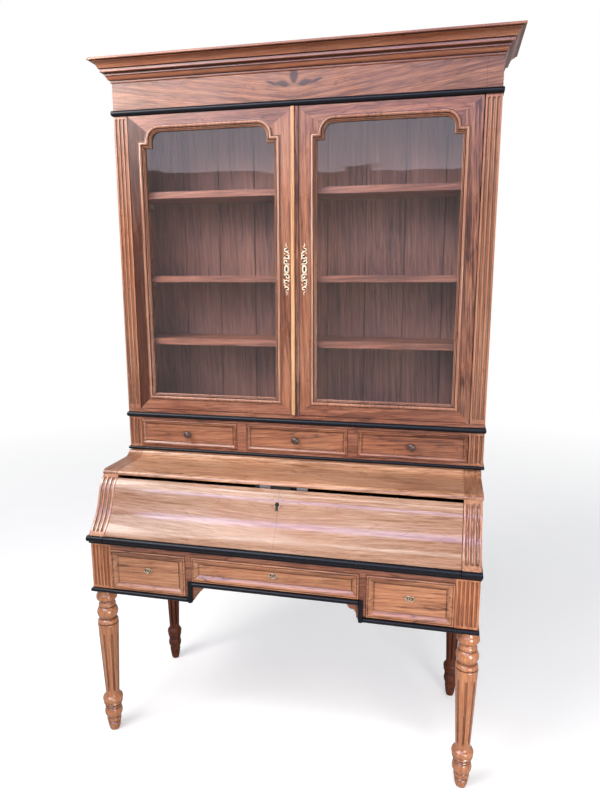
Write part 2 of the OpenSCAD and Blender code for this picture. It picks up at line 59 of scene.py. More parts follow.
# The ogee: a convex shoulder above a concave flare, as (y, z) with angles above the horizontal
SHOULDER_R = 0.115
FLARE_R = 0.233
OGEE_TOP, OGEE_TURN, OGEE_END = (math.radians(a) for a in (55, 16, 58))
SHOULDER = Vector((BASE_Y + 0.114 + SHOULDER_R * math.cos(OGEE_TOP),
                   DESK_UNDER - SHOULDER_R * math.sin(OGEE_TOP)))
FLARE = SHOULDER + (SHOULDER_R + FLARE_R) * Vector((-math.cos(OGEE_TURN), math.sin(OGEE_TURN)))


# ---------------------------------------------------------------- mesh building

TURNED_SIDES = 40
WELD = 1e-6
SHARP = math.radians(50)


def link(obj):
    """Puts an object into the scene."""
    bpy.context.scene.collection.objects.link(obj)
    return obj


class Shape:
    """Vertices and faces gathered from simple parts, each face with a material number."""

    def __init__(self):
        self.verts, self.faces, self.mats = [], [], []

    def add(self, verts, faces, mat=0):
        start = len(self.verts)
        self.verts += [tuple(v) for v in verts]
        self.faces += [tuple(start + i for i in f) for f in faces]
        self.mats += [mat] * len(faces)
        return self

    def loft(self, stations, mat=0, closed_path=False):
        """Skins a row of equal closed sections; an open path gets end caps."""
        n, m = len(stations), len(stations[0])
        faces = []
        for i in range(n if closed_path else n - 1):
            a, b = i * m, (i + 1) % n * m
            for j in range(m):
                k = (j + 1) % m
                faces.append((a + j, a + k, b + k, b + j))
        if not closed_path:
            faces += [tuple(range(m)), tuple(range((n - 1) * m, n * m))]
        return self.add([p for s in stations for p in s], faces, mat)

    def block(self, lo, hi, mat=0):
        (x0, y0, z0), (x1, y1, z1) = lo, hi
        ring = [(x0, y0), (x1, y0), (x1, y1), (x0, y1)]
        return self.loft([[(x, y, z) for x, y in ring] for z in (z0, z1)], mat)

    def prism_y(self, outline, y0, y1, mat=0):
        """An (x, z) outline carried along Y."""
        return self.loft([[(x, y, z) for x, z in outline] for y in (y0, y1)], mat)

    def prism_x(self, outline, x0, x1, mat=0):
        """A (y, z) outline carried along X."""
        return self.loft([[(x, y, z) for y, z in outline] for x in (x0, x1)], mat)

    def lathe(self, profile, at, axis, radius=lambda r, h, a: r, angles=None):
        """Turns a (radius, length) profile about Z or -Y; radius(r, length, angle) may carve it."""
        stations = []
        for r, h in profile:
            ring = []
            for a in angles or [2 * math.pi * i / TURNED_SIDES for i in range(TURNED_SIDES)]:
                u, v = radius(r, h, a) * math.cos(a), radius(r, h, a) * math.sin(a)
                reach = (u, v, h) if axis == "Z" else (u, -h, v)
                ring.append(tuple(c + d for c, d in zip(at, reach)))
            stations.append(ring)
        return self.loft(stations)


def make(name, shape, body, materials, replaces=(), bevel=0, crease=40, cuts=()):
    """Turns a shape into a piece that rides on a body: welded, cut, bevelled, and shaded smooth where its
    faces meet at less than the crease angle."""
    mesh = bpy.data.meshes.new(name)
    mesh.from_pydata(shape.verts, [], shape.faces)
    for m in materials:
        mesh.materials.append(m)
    mesh.polygons.foreach_set("material_index", shape.mats)
    obj = link(bpy.data.objects.new(name, mesh))
    bm = bmesh.new()
    bm.from_mesh(mesh)
    bmesh.ops.remove_doubles(bm, verts=bm.verts, dist=WELD)
    bmesh.ops.recalc_face_normals(bm, faces=bm.faces)
    bm.to_mesh(mesh)
    bm.free()
    for cut in cuts:
        carve(obj, cut)
    bm = bmesh.new()
    bm.from_mesh(mesh)
    if bevel:
        sharp = [e for e in bm.edges if len(e.link_faces) == 2 and e.calc_face_angle() > SHARP]
        bmesh.ops.bevel(bm, geom=sharp, offset=bevel, segments=2, affect="EDGES", clamp_overlap=True)
    for f in bm.faces:
        f.smooth = True
    for e in bm.edges:
        e.smooth = len(e.link_faces) == 2 and e.calc_face_angle() < math.radians(crease)
    bm.to_mesh(mesh)
    bm.free()
    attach(obj, body)
    if replaces:
        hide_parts(*replaces)
    return obj


def carve(obj, cut):
    """Takes another shape away from an object."""
    mesh = bpy.data.meshes.new("cutter")
    mesh.from_pydata(cut.verts, [], cut.faces)
    tool = link(bpy.data.objects.new("cutter", mesh))
    bm = bmesh.new()
    bm.from_mesh(mesh)
    bmesh.ops.recalc_face_normals(bm, faces=bm.faces)
    bm.to_mesh(mesh)
    bm.free()
    change = obj.modifiers.new("cut", "BOOLEAN")
    change.object = tool
    change.solver = "EXACT"
    bpy.context.view_layer.update()
    result = bpy.data.meshes.new_from_object(obj.evaluated_get(bpy.context.evaluated_depsgraph_get()))
    obj.modifiers.clear()
    bm = bmesh.new()
    bm.from_mesh(result)
    bm.to_mesh(obj.data)
    bm.free()
    bpy.data.objects.remove(tool)
    bpy.data.meshes.remove(mesh)
    bpy.data.meshes.remove(result)


def arc(c, r, a0, a1, n):
    """Points of an arc about c, angles in degrees."""
    angles = [math.radians(a0 + (a1 - a0) * i / n) for i in range(n + 1)]
    return [(c[0] + r * math.cos(a), c[1] + r * math.sin(a)) for a in angles]


def bow(p, q, sag, n=8):
    """A shallow arc from p to q, bulging to the left of that line by sag."""
    p, q = Vector(p), Vector(q)
    side = Vector((p.y - q.y, q.x - p.x)).normalized()
    return [tuple(p.lerp(q, t) + side * sag * 4 * t * (1 - t)) for t in (i / n for i in range(n + 1))]


def ogee(inset, start, n=(20, 36)):
    """The ogee line set back by inset, as (y, z) points from the shoulder down past the foot."""
    points = []
    shoulder, flare = SHOULDER_R - inset, FLARE_R + inset
    for i in range(n[0] + 1):
        a = start + (OGEE_TURN - start) * i / n[0]
        points.append((SHOULDER.x - shoulder * math.cos(a), SHOULDER.y + shoulder * math.sin(a)))
    for i in range(1, n[1] + 1):
        a = OGEE_TURN + (OGEE_END - OGEE_TURN) * i / n[1]
        points.append((FLARE.x + flare * math.cos(a), FLARE.y - flare * math.sin(a)))
    return points


def wrapped(shape, profile, x, y, z, share):
    """Carries an (overhang, height) profile round the front and both sides with mitred corners; at the
    sides it stands out by a share of the overhang."""
    stations = []
    for side, at_back in ((-1, True), (-1, False), (1, False), (1, True)):
        stations.append([(side * (x + o * share), BACK if at_back else y - o, z + h) for o, h in profile])
    return shape.loft(stations)


def nose(reach, height, n=12):
    """Half-round moulding: a flat run and a rounded nose."""
    r = height / 2
    return [(0, 0)] + arc((reach - r, r), r, -90, 90, n) + [(0, height)]


def mm(points):
    """Millimetres to metres."""
    return [tuple(v / 1000 for v in p) for p in points]


# ---------------------------------------------------------------- materials

X, Y, Z = 0, 1, 2
LEAN = 0.04          # how far the grain leans with height
SEAM_HALF = 0.0007   # half the width of a veneer joint, in metres


def node(tree, kind, inputs=None, **props):
    n = tree.nodes.new("ShaderNode" + kind)
    for k, v in props.items():
        setattr(n, k, v)
    for k, v in (inputs or {}).items():
        if isinstance(v, bpy.types.NodeSocket):
            tree.links.new(v, n.inputs[k])
        else:
            n.inputs[k].default_value = v
    return n


def math_node(tree, op, a, b=0.0, clamp=False):
    return node(tree, "Math", {0: a, 1: b}, operation=op, use_clamp=clamp).outputs[0]


def maths(tree, *kinds):
    """Short names for a tree's maths nodes, one for each kind."""
    return [functools.partial(math_node, tree, kind) for kind in kinds]


def blend_colours(tree, kind, share, a, b):
    m = node(tree, "Mix", data_type="RGBA", blend_type=kind)
    for i, v in ((0, share), (6, a), (7, b)):
        if isinstance(v, bpy.types.NodeSocket):
            tree.links.new(v, m.inputs[i])
        else:
            m.inputs[i].default_value = v if i == 0 else (*v, 1)
    return m.outputs[2]


def ramp(tree, share, stops):
    r = node(tree, "ValToRGB", {"Fac": share})
    while len(r.color_ramp.elements) < len(stops):
        r.color_ramp.elements.new(0.5)
    for e, (at, colour) in zip(r.color_ramp.elements, stops):
        e.position, e.color = at, (*colour, 1)
    return r.outputs[0]


def new_material(name):
    m = bpy.data.materials.new(name)
    m.use_nodes = True
    return m, m.node_tree, m.node_tree.nodes["Principled BSDF"]


def stretched(tree, vector, grain, along, across):
    """A vector scaled for noise that runs along the grain axis."""
    scale = [across] * 3
    scale[grain] = along
    return node(tree, "VectorMath", {0: vector, 1: scale}, operation="MULTIPLY").outputs[0]


def noise(tree, vector, scale, detail=3.0, rough=0.55, distortion=0.0):
    return node(tree, "TexNoise", {"Vector": vector, "Scale": scale, "Detail": detail, "Roughness": rough,
                                   "Distortion": distortion}).outputs[0]


def span(tree, value, low, high, to_low, to_high):
    """Carries one range of values to another, clamped."""
    return node(tree, "MapRange", {0: value, 1: low, 2: high, 3: to_low, 4: to_high}).outputs[0]


def grime_and_painted_shade(tree, colour, distance, low, high, amount, grime_and_shade_colour):
    """Darkens the hollows of a surface: partly the grime of old wax and tarnish, partly painted shade."""
    hollow = node(tree, "AmbientOcclusion", {"Distance": distance}, samples=4,
                  only_local=True).outputs["AO"]
    return blend_colours(tree, "MULTIPLY", span(tree, hollow, low, high, amount, 0.0), colour, grime_and_shade_colour)


def wood(name, grain, dark, mid, light, seed, mirror=None, figure=0.5, loops=9.0, gloss=0.30, coat=0.2,
         seams=(), knot=None, grime_and_shade=0.6, ripple=0.0, contrast=1.0, drift=0.05, shine=0.36, polish=0.13):
    """Polished walnut: fine streaks and clouds of tone along the grain, thin dark veins that follow the
    figure, open pores, old wax and painted shade in the hollows, and a ripple in large fields. A mirror
    is the x of a book-matched joint, seams are distances from the middle, and a knot is a dark figure at
    an (x, z)."""
    m, t, bsdf = new_material(name)
    add, sub, mul, div, power, most, mag, sine, below = maths(
        t, "ADD", "SUBTRACT", "MULTIPLY", "DIVIDE", "POWER", "MAXIMUM", "ABSOLUTE", "SINE", "LESS_THAN")
    rest = node(t, "TexCoord").outputs["Object"]
    rest_x, rest_y, rest_z = node(t, "SeparateXYZ", {0: rest}).outputs
    p = rest
    if mirror is not None:
        p = node(t, "CombineXYZ", {0: mag(sub(rest_x, mirror)), 1: rest_y, 2: rest_z}).outputs[0]
    p = node(t, "VectorMath", {0: p, 1: (seed, seed * 1.7, seed * 0.6)}, operation="ADD").outputs[0]
    x, y, z = node(t, "SeparateXYZ", {0: p}).outputs
    p = node(t, "CombineXYZ", {0: add(x, mul(z, LEAN)), 1: y, 2: add(z, mul(x, -drift))}).outputs[0]

    def grained(along, across, detail, rough, distortion=0.0):
        return noise(t, stretched(t, p, grain, along, across), 1.0, detail, rough, distortion)

    clouds = grained(1.6, 6.0, 3, 0.5)
    streaks = grained(3.2, 120.0, 6, 0.66, 0.2)
    fine = grained(16.0, 330.0, 3, 0.6)
    broad = grained(1.3, 9.0, 4, 0.52, 0.35)
    if knot:
        side, rise = mag(sub(rest_x, knot[0])), sub(rest_z, knot[1])
        curl = sub(noise(t, p, 45.0, 3), 0.5)

        def blot(x, z, half_x, half_z, tilt):
            """A soft oval on each side of the knot's middle, 1 at its own middle and 0 far away."""
            u = div(sub(side, x), half_x)
            v = sub(sub(rise, z), mul(sub(side, x), tilt))
            v = add(div(v, half_z), mul(curl, 1.6))
            return power(math.e, mul(add(mul(u, u), mul(v, v)), -1.0))

        pull = most(blot(0.0, 0.010, 0.014, 0.027, 0.0), most(blot(0.038, -0.015, 0.025, 0.009, 0.15),
                                                              blot(0.076, -0.011, 0.022, 0.0045, 0.35)))
        broad = add(broad, mul(blot(0.0, -0.01, 0.16, 0.05, 0.25), 0.35))
    crest = mag(sine(mul(broad, loops * math.pi)))
    vein = power(sub(1.0, crest, clamp=True), 3.5)
    vein = mul(vein, span(t, grained(2.2, 12.0, 3, 0.5), 0.40, 0.60, 0.15, 1.0))
    tone = mul(sub(streaks, 0.5), 1.7 * contrast)
    tone = add(tone, mul(sub(clouds, 0.5), contrast))
    tone = add(tone, mul(sub(fine, 0.5), 1.2 * contrast))
    tone = sub(add(tone, 0.53), mul(vein, figure * 0.42), clamp=True)
    colour = ramp(t, tone, [(0.12, dark), (0.50, mid), (0.86, light)])
    warm = span(t, noise(t, p, 4.0, 3), 0.42, 0.64, 0.0, 0.5)
    colour = blend_colours(t, "MULTIPLY", warm, colour, (1.0, 0.84, 0.76))
    open_pore = span(t, grained(45.0, 1300.0, 2, 0.5), 0.60, 0.72, 0.0, 0.5)
    colour = blend_colours(t, "MULTIPLY", open_pore, colour, (0.40, 0.31, 0.26))
    if knot:
        colour = blend_colours(t, "MULTIPLY", span(t, pull, 0.15, 0.6, 0.0, 0.90), colour,
                               (0.13, 0.12, 0.17))
    for seam in seams:
        off = mag(sub(mag(rest_x), seam))
        colour = blend_colours(t, "MULTIPLY", mul(below(off, SEAM_HALF), 0.6), colour, (0.25, 0.16, 0.12))
    # Hollows darkened by occlusion: old wax, and painted shade in the grooves and corners.
    colour = grime_and_painted_shade(t, colour, 0.010, 0.62, 0.97, grime_and_shade, (0.10, 0.045, 0.035))
    t.links.new(colour, bsdf.inputs["Base Color"])
    rough = span(t, noise(t, p, 9.0, 4), 0.3, 0.7, gloss - 0.06, gloss + 0.12)
    t.links.new(rough, bsdf.inputs["Roughness"])
    height = sub(mul(fine, 0.5), mul(open_pore, 1.2))
    bump = node(t, "Bump", {"Strength": 0.2, "Distance": 0.0004, "Height": height}).outputs[0]
    if ripple:
        swell = grained(5.0, 16.0, 2, 0.45)
        bump = node(t, "Bump", {"Strength": ripple, "Distance": 0.0025, "Height": swell,
                                "Normal": bump}).outputs[0]
    t.links.new(bump, bsdf.inputs["Normal"])
    bsdf.inputs["Specular IOR Level"].default_value = shine
    bsdf.inputs["Coat Weight"].default_value = coat
    bsdf.inputs["Coat Roughness"].default_value = polish
    return m


def plain(name, colour, rough, metallic=0.0, mottle=0.35, scale=60.0, bump=0.1, tint=(0.4, 0.32, 0.26),
          coat=0.0, grime_and_shade=0.0, shine=0.5):
    """A surface of one colour with cloudy wear in its colour, gloss and relief."""
    m, t, bsdf = new_material(name)
    p = node(t, "TexCoord").outputs["Object"]
    wear = span(t, noise(t, p, scale, 5, 0.6), 0.40, 0.70, 0.0, mottle)
    shade = blend_colours(t, "MULTIPLY", wear, colour, tint)
    # Hollows darkened by occlusion: grime, and painted shade.
    if grime_and_shade:
        shade = grime_and_painted_shade(t, shade, 0.004, 0.3, 0.9, grime_and_shade, (0.10, 0.07, 0.05))
    t.links.new(shade, bsdf.inputs["Base Color"])
    cloud = span(t, noise(t, p, scale * 2.5, 3), 0.3, 0.7, rough * 0.8, rough * 1.25)
    t.links.new(cloud, bsdf.inputs["Roughness"])
    relief = node(t, "Bump", {"Strength": bump, "Distance": 0.0005, "Height": noise(t, p, scale * 6, 3)})
    t.links.new(relief.outputs[0], bsdf.inputs["Normal"])
    bsdf.inputs["Metallic"].default_value = metallic
    bsdf.inputs["Specular IOR Level"].default_value = shine
    bsdf.inputs["Coat Weight"].default_value = coat
    return m


def pane_material():
    """Old drawn sheet glass: clear to lamps, with slow waves that bend its reflections."""
    m, t, bsdf = new_material("old_glass")
    bsdf.inputs["Base Color"].default_value = (0.93, 0.95, 0.94, 1)
    bsdf.inputs["Roughness"].default_value = 0.015
    bsdf.inputs["Transmission Weight"].default_value = 1.0
    bsdf.inputs["IOR"].default_value = 1.5
    p = node(t, "TexCoord").outputs["Object"]
    waves = noise(t, stretched(t, p, X, 3.0, 7.0), 1.0, 2, 0.4, 0.6)
    bump = node(t, "Bump", {"Strength": 0.12, "Distance": 0.004, "Height": waves})
    t.links.new(bump.outputs[0], bsdf.inputs["Normal"])
    clear = node(t, "BsdfTransparent", {"Color": (0.9, 0.92, 0.91, 1)})
    shadow = node(t, "LightPath").outputs["Is Shadow Ray"]
    both = node(t, "MixShader", {0: shadow, 1: bsdf.outputs[0], 2: clear.outputs[0]})
    t.links.new(both.outputs[0], t.nodes["Material Output"].inputs["Surface"])
    return m


DEEP, GOLD = (0.085, 0.031, 0.018), (0.190, 0.080, 0.036)
FRAME_V = wood(
    "walnut_upright", Z, DEEP, (0.240, 0.098, 0.056), (0.400, 0.190, 0.110), seed=1.3, figure=0.8)
FRAME_H = wood(
    "walnut_rail", X, DEEP, (0.205, 0.077, 0.045), (0.34, 0.150, 0.090), seed=4.1, figure=1.0, loops=12.0,
    ripple=0.15)
# The left door's outer stile takes a much darker copy of the walnut than the right door's: partly its own
# dark figure, partly painted shade.
STILE = wood(
    "walnut_outer_stile_shaded", Z, (0.046, 0.016, 0.010), (0.062, 0.022, 0.013), (0.112, 0.045, 0.027),
    seed=7.7, figure=1.1, loops=8.0, ripple=0.15, contrast=1.1, coat=0.05, shine=0.25)
STILE_RIGHT = wood(
    "walnut_right_stile", Z, (0.055, 0.020, 0.013), (0.205, 0.082, 0.048), (0.33, 0.150, 0.088),
    seed=11.9, figure=1.3, loops=8.0, ripple=0.15, contrast=1.3)
INNER_STILE = wood(
    "walnut_inner_stile", Z, DEEP, (0.240, 0.096, 0.052), (0.36, 0.168, 0.098), seed=2.4, figure=0.5)
STRIP = wood(
    "walnut_strip", Z, (0.22, 0.10, 0.045), (0.47, 0.245, 0.118), (0.62, 0.37, 0.20), seed=4.6,
    figure=0.1, grime_and_shade=0.8, contrast=0.7)
FRIEZE = wood(
    "walnut_frieze", X, DEEP, (0.190, 0.074, 0.036), (0.31, 0.138, 0.070), seed=2.2, mirror=-0.004,
    figure=1.0, coat=0.06, gloss=0.38, loops=16.0, seams=(0.62,), knot=(-0.004, 2.322), ripple=0.15,
    contrast=1.25, drift=0.13)
MOULD = wood(
    "walnut_moulding", X, (0.075, 0.027, 0.014), (0.255, 0.093, 0.048), (0.43, 0.185, 0.100), seed=9.4,
    figure=0.1, grime_and_shade=1.0, contrast=0.5, coat=0.18)
GLAZING = wood(
    "walnut_glazing", Z, DEEP, (0.31, 0.140, 0.086), (0.48, 0.260, 0.165), seed=5.2, figure=0.1,
    contrast=0.6, grime_and_shade=1.0, coat=0.45)
FIELD = wood(
    "walnut_drawer", X, DEEP, (0.345, 0.153, 0.080), (0.50, 0.262, 0.146), seed=3.6, figure=0.9,
    loops=13.0, grime_and_shade=1.0, contrast=0.75)
SMALL_FIELD = wood(
    "walnut_small_drawer", X, DEEP, (0.26, 0.103, 0.056), (0.41, 0.192, 0.106), seed=6.1, figure=0.9,
    loops=13.0, grime_and_shade=1.0, contrast=0.85)
FALL = wood(
    "walnut_fall", X, GOLD, (0.337, 0.196, 0.132), (0.472, 0.307, 0.224), seed=6.3, mirror=-0.003,
    figure=0.7, loops=16.0, gloss=0.45, coat=0.55, shine=0.12, polish=0.10, seams=(0.0,), ripple=0.6,
    contrast=0.68)
LEDGE = wood(
    "walnut_ledge", X, GOLD, (0.40, 0.205, 0.115), (0.58, 0.34, 0.21), seed=8.8, figure=0.9, loops=14.0,
    gloss=0.32, coat=0.35, ripple=0.25)
CROSS = wood(
    "walnut_crossband", Y, DEEP, (0.27, 0.120, 0.062), (0.42, 0.21, 0.115), seed=1.9, figure=0.9,
    loops=14.0)
CORBEL = wood(
    "walnut_corbel", Z, DEEP, (0.38, 0.175, 0.102), (0.56, 0.31, 0.20), seed=3.1, figure=0.2, grime_and_shade=1.0,
    contrast=0.6, coat=0.7)
PILASTER = wood(
    "walnut_pilaster", Z, DEEP, (0.320, 0.134, 0.073), (0.48, 0.238, 0.130), seed=2.7, figure=0.2,
    grime_and_shade=1.0, contrast=0.7)
POST = wood(
    "walnut_post", Z, DEEP, (0.42, 0.166, 0.078), (0.60, 0.290, 0.142), seed=2.7, figure=0.2, grime_and_shade=1.0,
    contrast=0.7)
TURNED = wood(
    "walnut_turned", Z, (0.13, 0.048, 0.022), (0.40, 0.158, 0.070), (0.60, 0.290, 0.142), seed=0.7,
    figure=0.1, grime_and_shade=0.9, gloss=0.22, coat=0.6, contrast=0.5)
# The rear legs take a much darker copy of the turned walnut: painted shade.
TURNED_SHADED = wood(
    "walnut_turned_shaded", Z, (0.036, 0.009, 0.004), (0.092, 0.023, 0.009), (0.16, 0.050, 0.022), seed=2.9,
    figure=0.2, grime_and_shade=1.0, gloss=0.42, coat=0.0, contrast=0.6, shine=0.2)
SHELF = wood(
    "walnut_shelf", X, (0.08, 0.024, 0.012), (0.185, 0.062, 0.034), (0.29, 0.112, 0.064), seed=5.9,
    figure=0.3, coat=0.1, gloss=0.4)
INSIDE = wood(
    "inside_boards", Z, (0.050, 0.018, 0.011), (0.150, 0.058, 0.036), (0.240, 0.105, 0.068), seed=3.3,
    figure=0.5, coat=0.0, gloss=0.6, contrast=0.75)
CARCASS = wood(
    "plain_boards", X, (0.10, 0.055, 0.030), (0.20, 0.115, 0.065), (0.30, 0.185, 0.11), seed=6.6,
    figure=0.4, coat=0.0, gloss=0.6)
DRAWER_BOX = wood(
    "drawer_oak", Y, (0.17, 0.095, 0.050), (0.33, 0.20, 0.115), (0.46, 0.30, 0.18), seed=8.1, figure=0.4,
    coat=0.0, gloss=0.55)
EBONY = plain(
    "ebonised", (0.004, 0.005, 0.008), 0.32, mottle=0.3, scale=40, bump=0.06, tint=(0.5, 0.42, 0.38),
    shine=0.22)
KNOB = plain(
    "turned_knob", (0.060, 0.032, 0.022), 0.30, mottle=0.6, scale=90, bump=0.12, coat=0.3, grime_and_shade=0.8)
BRASS = plain(
    "gilt_brass", (0.96, 0.88, 0.64), 0.34, metallic=0.75, mottle=0.35, scale=160, bump=0.2, grime_and_shade=0.95)
DULL_BRASS = plain(
    "dull_brass", (0.58, 0.46, 0.31), 0.36, metallic=0.9, mottle=0.6, scale=160, bump=0.25, grime_and_shade=0.9)
STEEL = plain("filed_steel", (0.42, 0.41, 0.40), 0.42, metallic=1.0, mottle=0.5, scale=120, bump=0.2)
# Near-black that stands in for shade: painted shade in keyholes, behind pierced plates and on the keep in
# the gap above the fall.
SHADE_BLACK = plain("shade_black", (0.006, 0.005, 0.005), 0.8, mottle=0.3, bump=0.1)
LEATHER = plain("writing_leather", (0.060, 0.020, 0.014), 0.45, mottle=0.4, scale=300, bump=0.5)
GILT = plain("gilt_tooling", (0.50, 0.36, 0.14), 0.4, metallic=0.8, mottle=0.6, scale=220, bump=0.2)
GLASS = pane_material()


# ---------------------------------------------------------------- carried-over CAD nodes

def finish_node(name, material, bevel):
    """Gives a CAD node its finish and, where there is a bevel, softly rounded edges."""
    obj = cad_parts[name]
    obj.data.materials.clear()
    obj.data.materials.append(material)
    if bevel:
        obj.modifiers.new("weld", "WELD").merge_threshold = 1e-5
        soft = obj.modifiers.new("edges", "BEVEL")
        soft.width, soft.segments, soft.harden_normals = bevel, 2, True
        soft.limit_method, soft.angle_limit = "ANGLE", math.radians(40)


BOARD_EDGE = 0.0009
BOARDS = {
    FRAME_V: ("case_side_left", "case_side_right", "end_panel_left", "end_panel_right"),
    FRAME_H: ("drawer_tier", "base_front_frame", "housing_left", "housing_right"),
    FRIEZE: ("frieze",),
    LEDGE: ("writing_slide",),
    SHELF: ("shelf_lower", "shelf_middle", "shelf_upper", "gallery"),
    CARCASS: ("case_top", "desk_back", "desk_floor", "knee_ceiling"),
    FIELD: ("small_drawer_left", "small_drawer_right"),
}
SHARP_EDGED = {
    PILASTER: ("case_pilaster_left", "case_pilaster_right"),
    POST: ("base_post_left", "base_post_right"),
    STEEL: ("door_pivots", "door_lock_bolt", "lock_bolt_left", "lock_bolt_middle", "lock_bolt_right",
            "fall_bolts"),
    GLASS: ("door_left_glass", "door_right_glass"),
}
for finishes, bevel in ((BOARDS, BOARD_EDGE), (SHARP_EDGED, 0)):
    for material, names in finishes.items():
        for name in names:
            finish_node(name, material, bevel)


# ---------------------------------------------------------------- cornice and black mouldings

CORNICE_PROFILE = mm(
    [(0, 0), (3.5, 0.3), (5.2, 2.0), (5.2, 4.6), (3.6, 5.2), (3.6, 6.6)]
    + bow((6, 7.2), (17, 20), -2.6, 6)
    + [(17.6, 21), (22.0, 21.4), (22.0, 24.2), (20.0, 24.8), (20.4, 27.6), (26.0, 29.6), (34.4, 30.2),
       (35.0, 30.8),
       (35.0, 38.2), (33.6, 38.8), (33.6, 40.4)]
    + bow((39.8, 41.0), (61, 58.5), 4.2, 10)
    + [(61.8, 60), (60.4, 60.8), (60.4, 61.8), (69.8, 62.2), (70.9, 63.2), (71, 67.6), (70, 69), (-20, 69),
       (-20, 0)])
share = (CORNICE[1].x - CASE_X) / (CASE_Y - CORNICE[0].y)
shape = wrapped(Shape(), CORNICE_PROFILE, CASE_X, CASE_Y, CORNICE[0].z, share)
make("cornice_moulding", shape, "root", [MOULD], ["cornice"], crease=24)

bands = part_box("case_bands")
SIDE_NOSE = bands[1].x - CASE_X
TIER_Z = 1.136       # underside of the moulding between the doors and the small drawers
shape = Shape()
for z, height, reach in ((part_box("frieze")[0].z, 0.019, 0.013), (TIER_Z, 0.020, 0.010),
                         (bands[0].z, 0.012, 0.0086)):
    wrapped(shape, nose(reach, height), CASE_X, CASE_Y, z, SIDE_NOSE / reach)
make("case_black_mouldings", shape, "root", [EBONY], ["case_bands"])

desk_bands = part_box("desk_bands")
STEP_X, STEP_NOSE, STEP_TOP = (0.285, 0.301), 0.012, 0.648
BASE_TOP = SLIDE[0].z - 0.0095


def side_band(shape, side, start_x, z, profile, share):
    """Carries a nose along the front from start_x, round the desk's corner and back along its side."""
    stations = [[(side * start_x, BASE_Y - o, z + h) for o, h in profile]]
    for y in (None, BACK):
        stations.append([(side * (DESK_X + o * share), BASE_Y - o if y is None else y, z + h)
                         for o, h in profile])
    shape.loft(stations)


shape = wrapped(Shape(), [(0, 0), (0.0075, 0), (0.008, 0.001), (0.008, 0.0085), (0.0075, 0.0094),
                          (0, 0.0094)],
                DESK_X, BASE_Y, BASE_TOP, 0.4)
for side in (-1, 1):
    side_band(shape, side, DESK_X - 0.0575, SLIDE[0].z - 0.0005, nose(0.023, 0.022), 0.005 / 0.023)
    side_band(shape, side, STEP_X[1], desk_bands[0].z, nose(STEP_NOSE, 0.015), 1 / 3)
    upright = [(side * (STEP_X[0] + h), BASE_Y - o) for o, h in nose(STEP_NOSE, STEP_X[1] - STEP_X[0])]
    shape.loft([[(x, y, z) for x, y in upright] for z in (desk_bands[0].z, STEP_TOP)])
shape.prism_x([(BASE_Y - o, STEP_TOP - 0.016 + h) for o, h in nose(STEP_NOSE, 0.016)], -STEP_X[0],
              STEP_X[0])
make("desk_black_mouldings", shape, "root", [EBONY], ["desk_bands"])

lo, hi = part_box("slide_band")
outline = [(BASE_Y - o, lo.z + h) for o, h in nose(BASE_Y - lo.y, hi.z - lo.z, 16)]
make("slide_black_nose", Shape().prism_x(outline, lo.x, hi.x), "slide", [EBONY], ["slide_band"])


# ---------------------------------------------------------------- inside of the bookcase

BACK_BOARDS, GAP, CHAMFER = 9, 0.0006, 0.0030
lo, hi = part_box("case_back")
shape = Shape().block((lo.x, lo.y + 0.005, lo.z), (hi.x, hi.y, hi.z), 1)
for i in range(BACK_BOARDS):
    a, b = (lo.x + (hi.x - lo.x) * (i + k) / BACK_BOARDS for k in (0, 1))
    ring = [(a + GAP, lo.y + 0.0054), (a + GAP, lo.y + 0.0022), (a + CHAMFER, lo.y), (b - CHAMFER, lo.y),
            (b - GAP, lo.y + 0.0022), (b - GAP, lo.y + 0.0054)]
    shape.loft([[(x, y, z) for x, y in ring] for z in (lo.z, hi.z)], 0)
make("back_boards", shape, "root", [INSIDE, CARCASS], ["case_back"], crease=20)


# ---------------------------------------------------------------- doors

CORNER_R, EAR_W = 0.055, 0.026
ARC_STEPS = 14
MITRE_STEP = 6       # the step of each corner's arc at which stile and top rail meet
STRIPS = {           # the strips that cover the joint between the doors, as (x, height) in millimetres
    -1: [(1, 0), (1, 6.0), (1.8, 7.7), (3.0, 8.0), (13.4, 8.0), (14.6, 7.3), (15.1, 5.0), (15.6, 1.0),
         (16.5, 0)],
    1: [(1, 0), (1, 4.0), (1.8, 5.0), (10.0, 5.0), (11.4, 4.2), (12.2, 1.4), (13.8, 1.0), (14.5, 0)],
}
BEAD_FRONT = mm(
    [(0, 0), (0, 2.4), (0.6, 3.2), (1.6, 3.3), (2.0, 1.6), (2.6, 1.6), (3.1, 4.6), (4.8, 6.9), (7.2, 7.9),
     (10.0, 7.5), (12.4, 5.6), (13.5, 3.2), (13.9, 0.4), (14.9, 0.1), (15.4, 2.0), (16.6, 2.8), (18.0, 2.2),
     (18.6, -0.2), (19.4, -0.8), (20.4, 0.2), (21.6, -0.4), (22.4, -2.6), (23.0, -5.0), (23.0, -9.7),
     (8.3, -9.7), (8.3, 0)])
BEAD_BACK = mm([(8.3, -13.3), (23, -13.3), (22.2, -15.5), (18, -18.5), (12, -20), (8.3, -20)])


def glazing(side, d):
    """Glazing outline of a door, set in by d: square foot, ears and rounded top corners, as (x, z)."""
    lo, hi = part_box("door_right_moulding")
    x0, x1, z0 = lo.x + d, hi.x - d, lo.z + d
    ear, r = hi.z - CORNER_R, CORNER_R - d
    points = [(x0, z0), (x1, z0), (x1, ear - d), (x1 - EAR_W, ear - d)]
    points += arc((x1 + d - EAR_W - CORNER_R, ear), r, 0, 90, ARC_STEPS)
    points += arc((x0 - d + EAR_W + CORNER_R, ear), r, 90, 180, ARC_STEPS)
    points += [(x0 + EAR_W, ear - d), (x0, ear - d)]
    return [(side * x, z) for x, z in points]


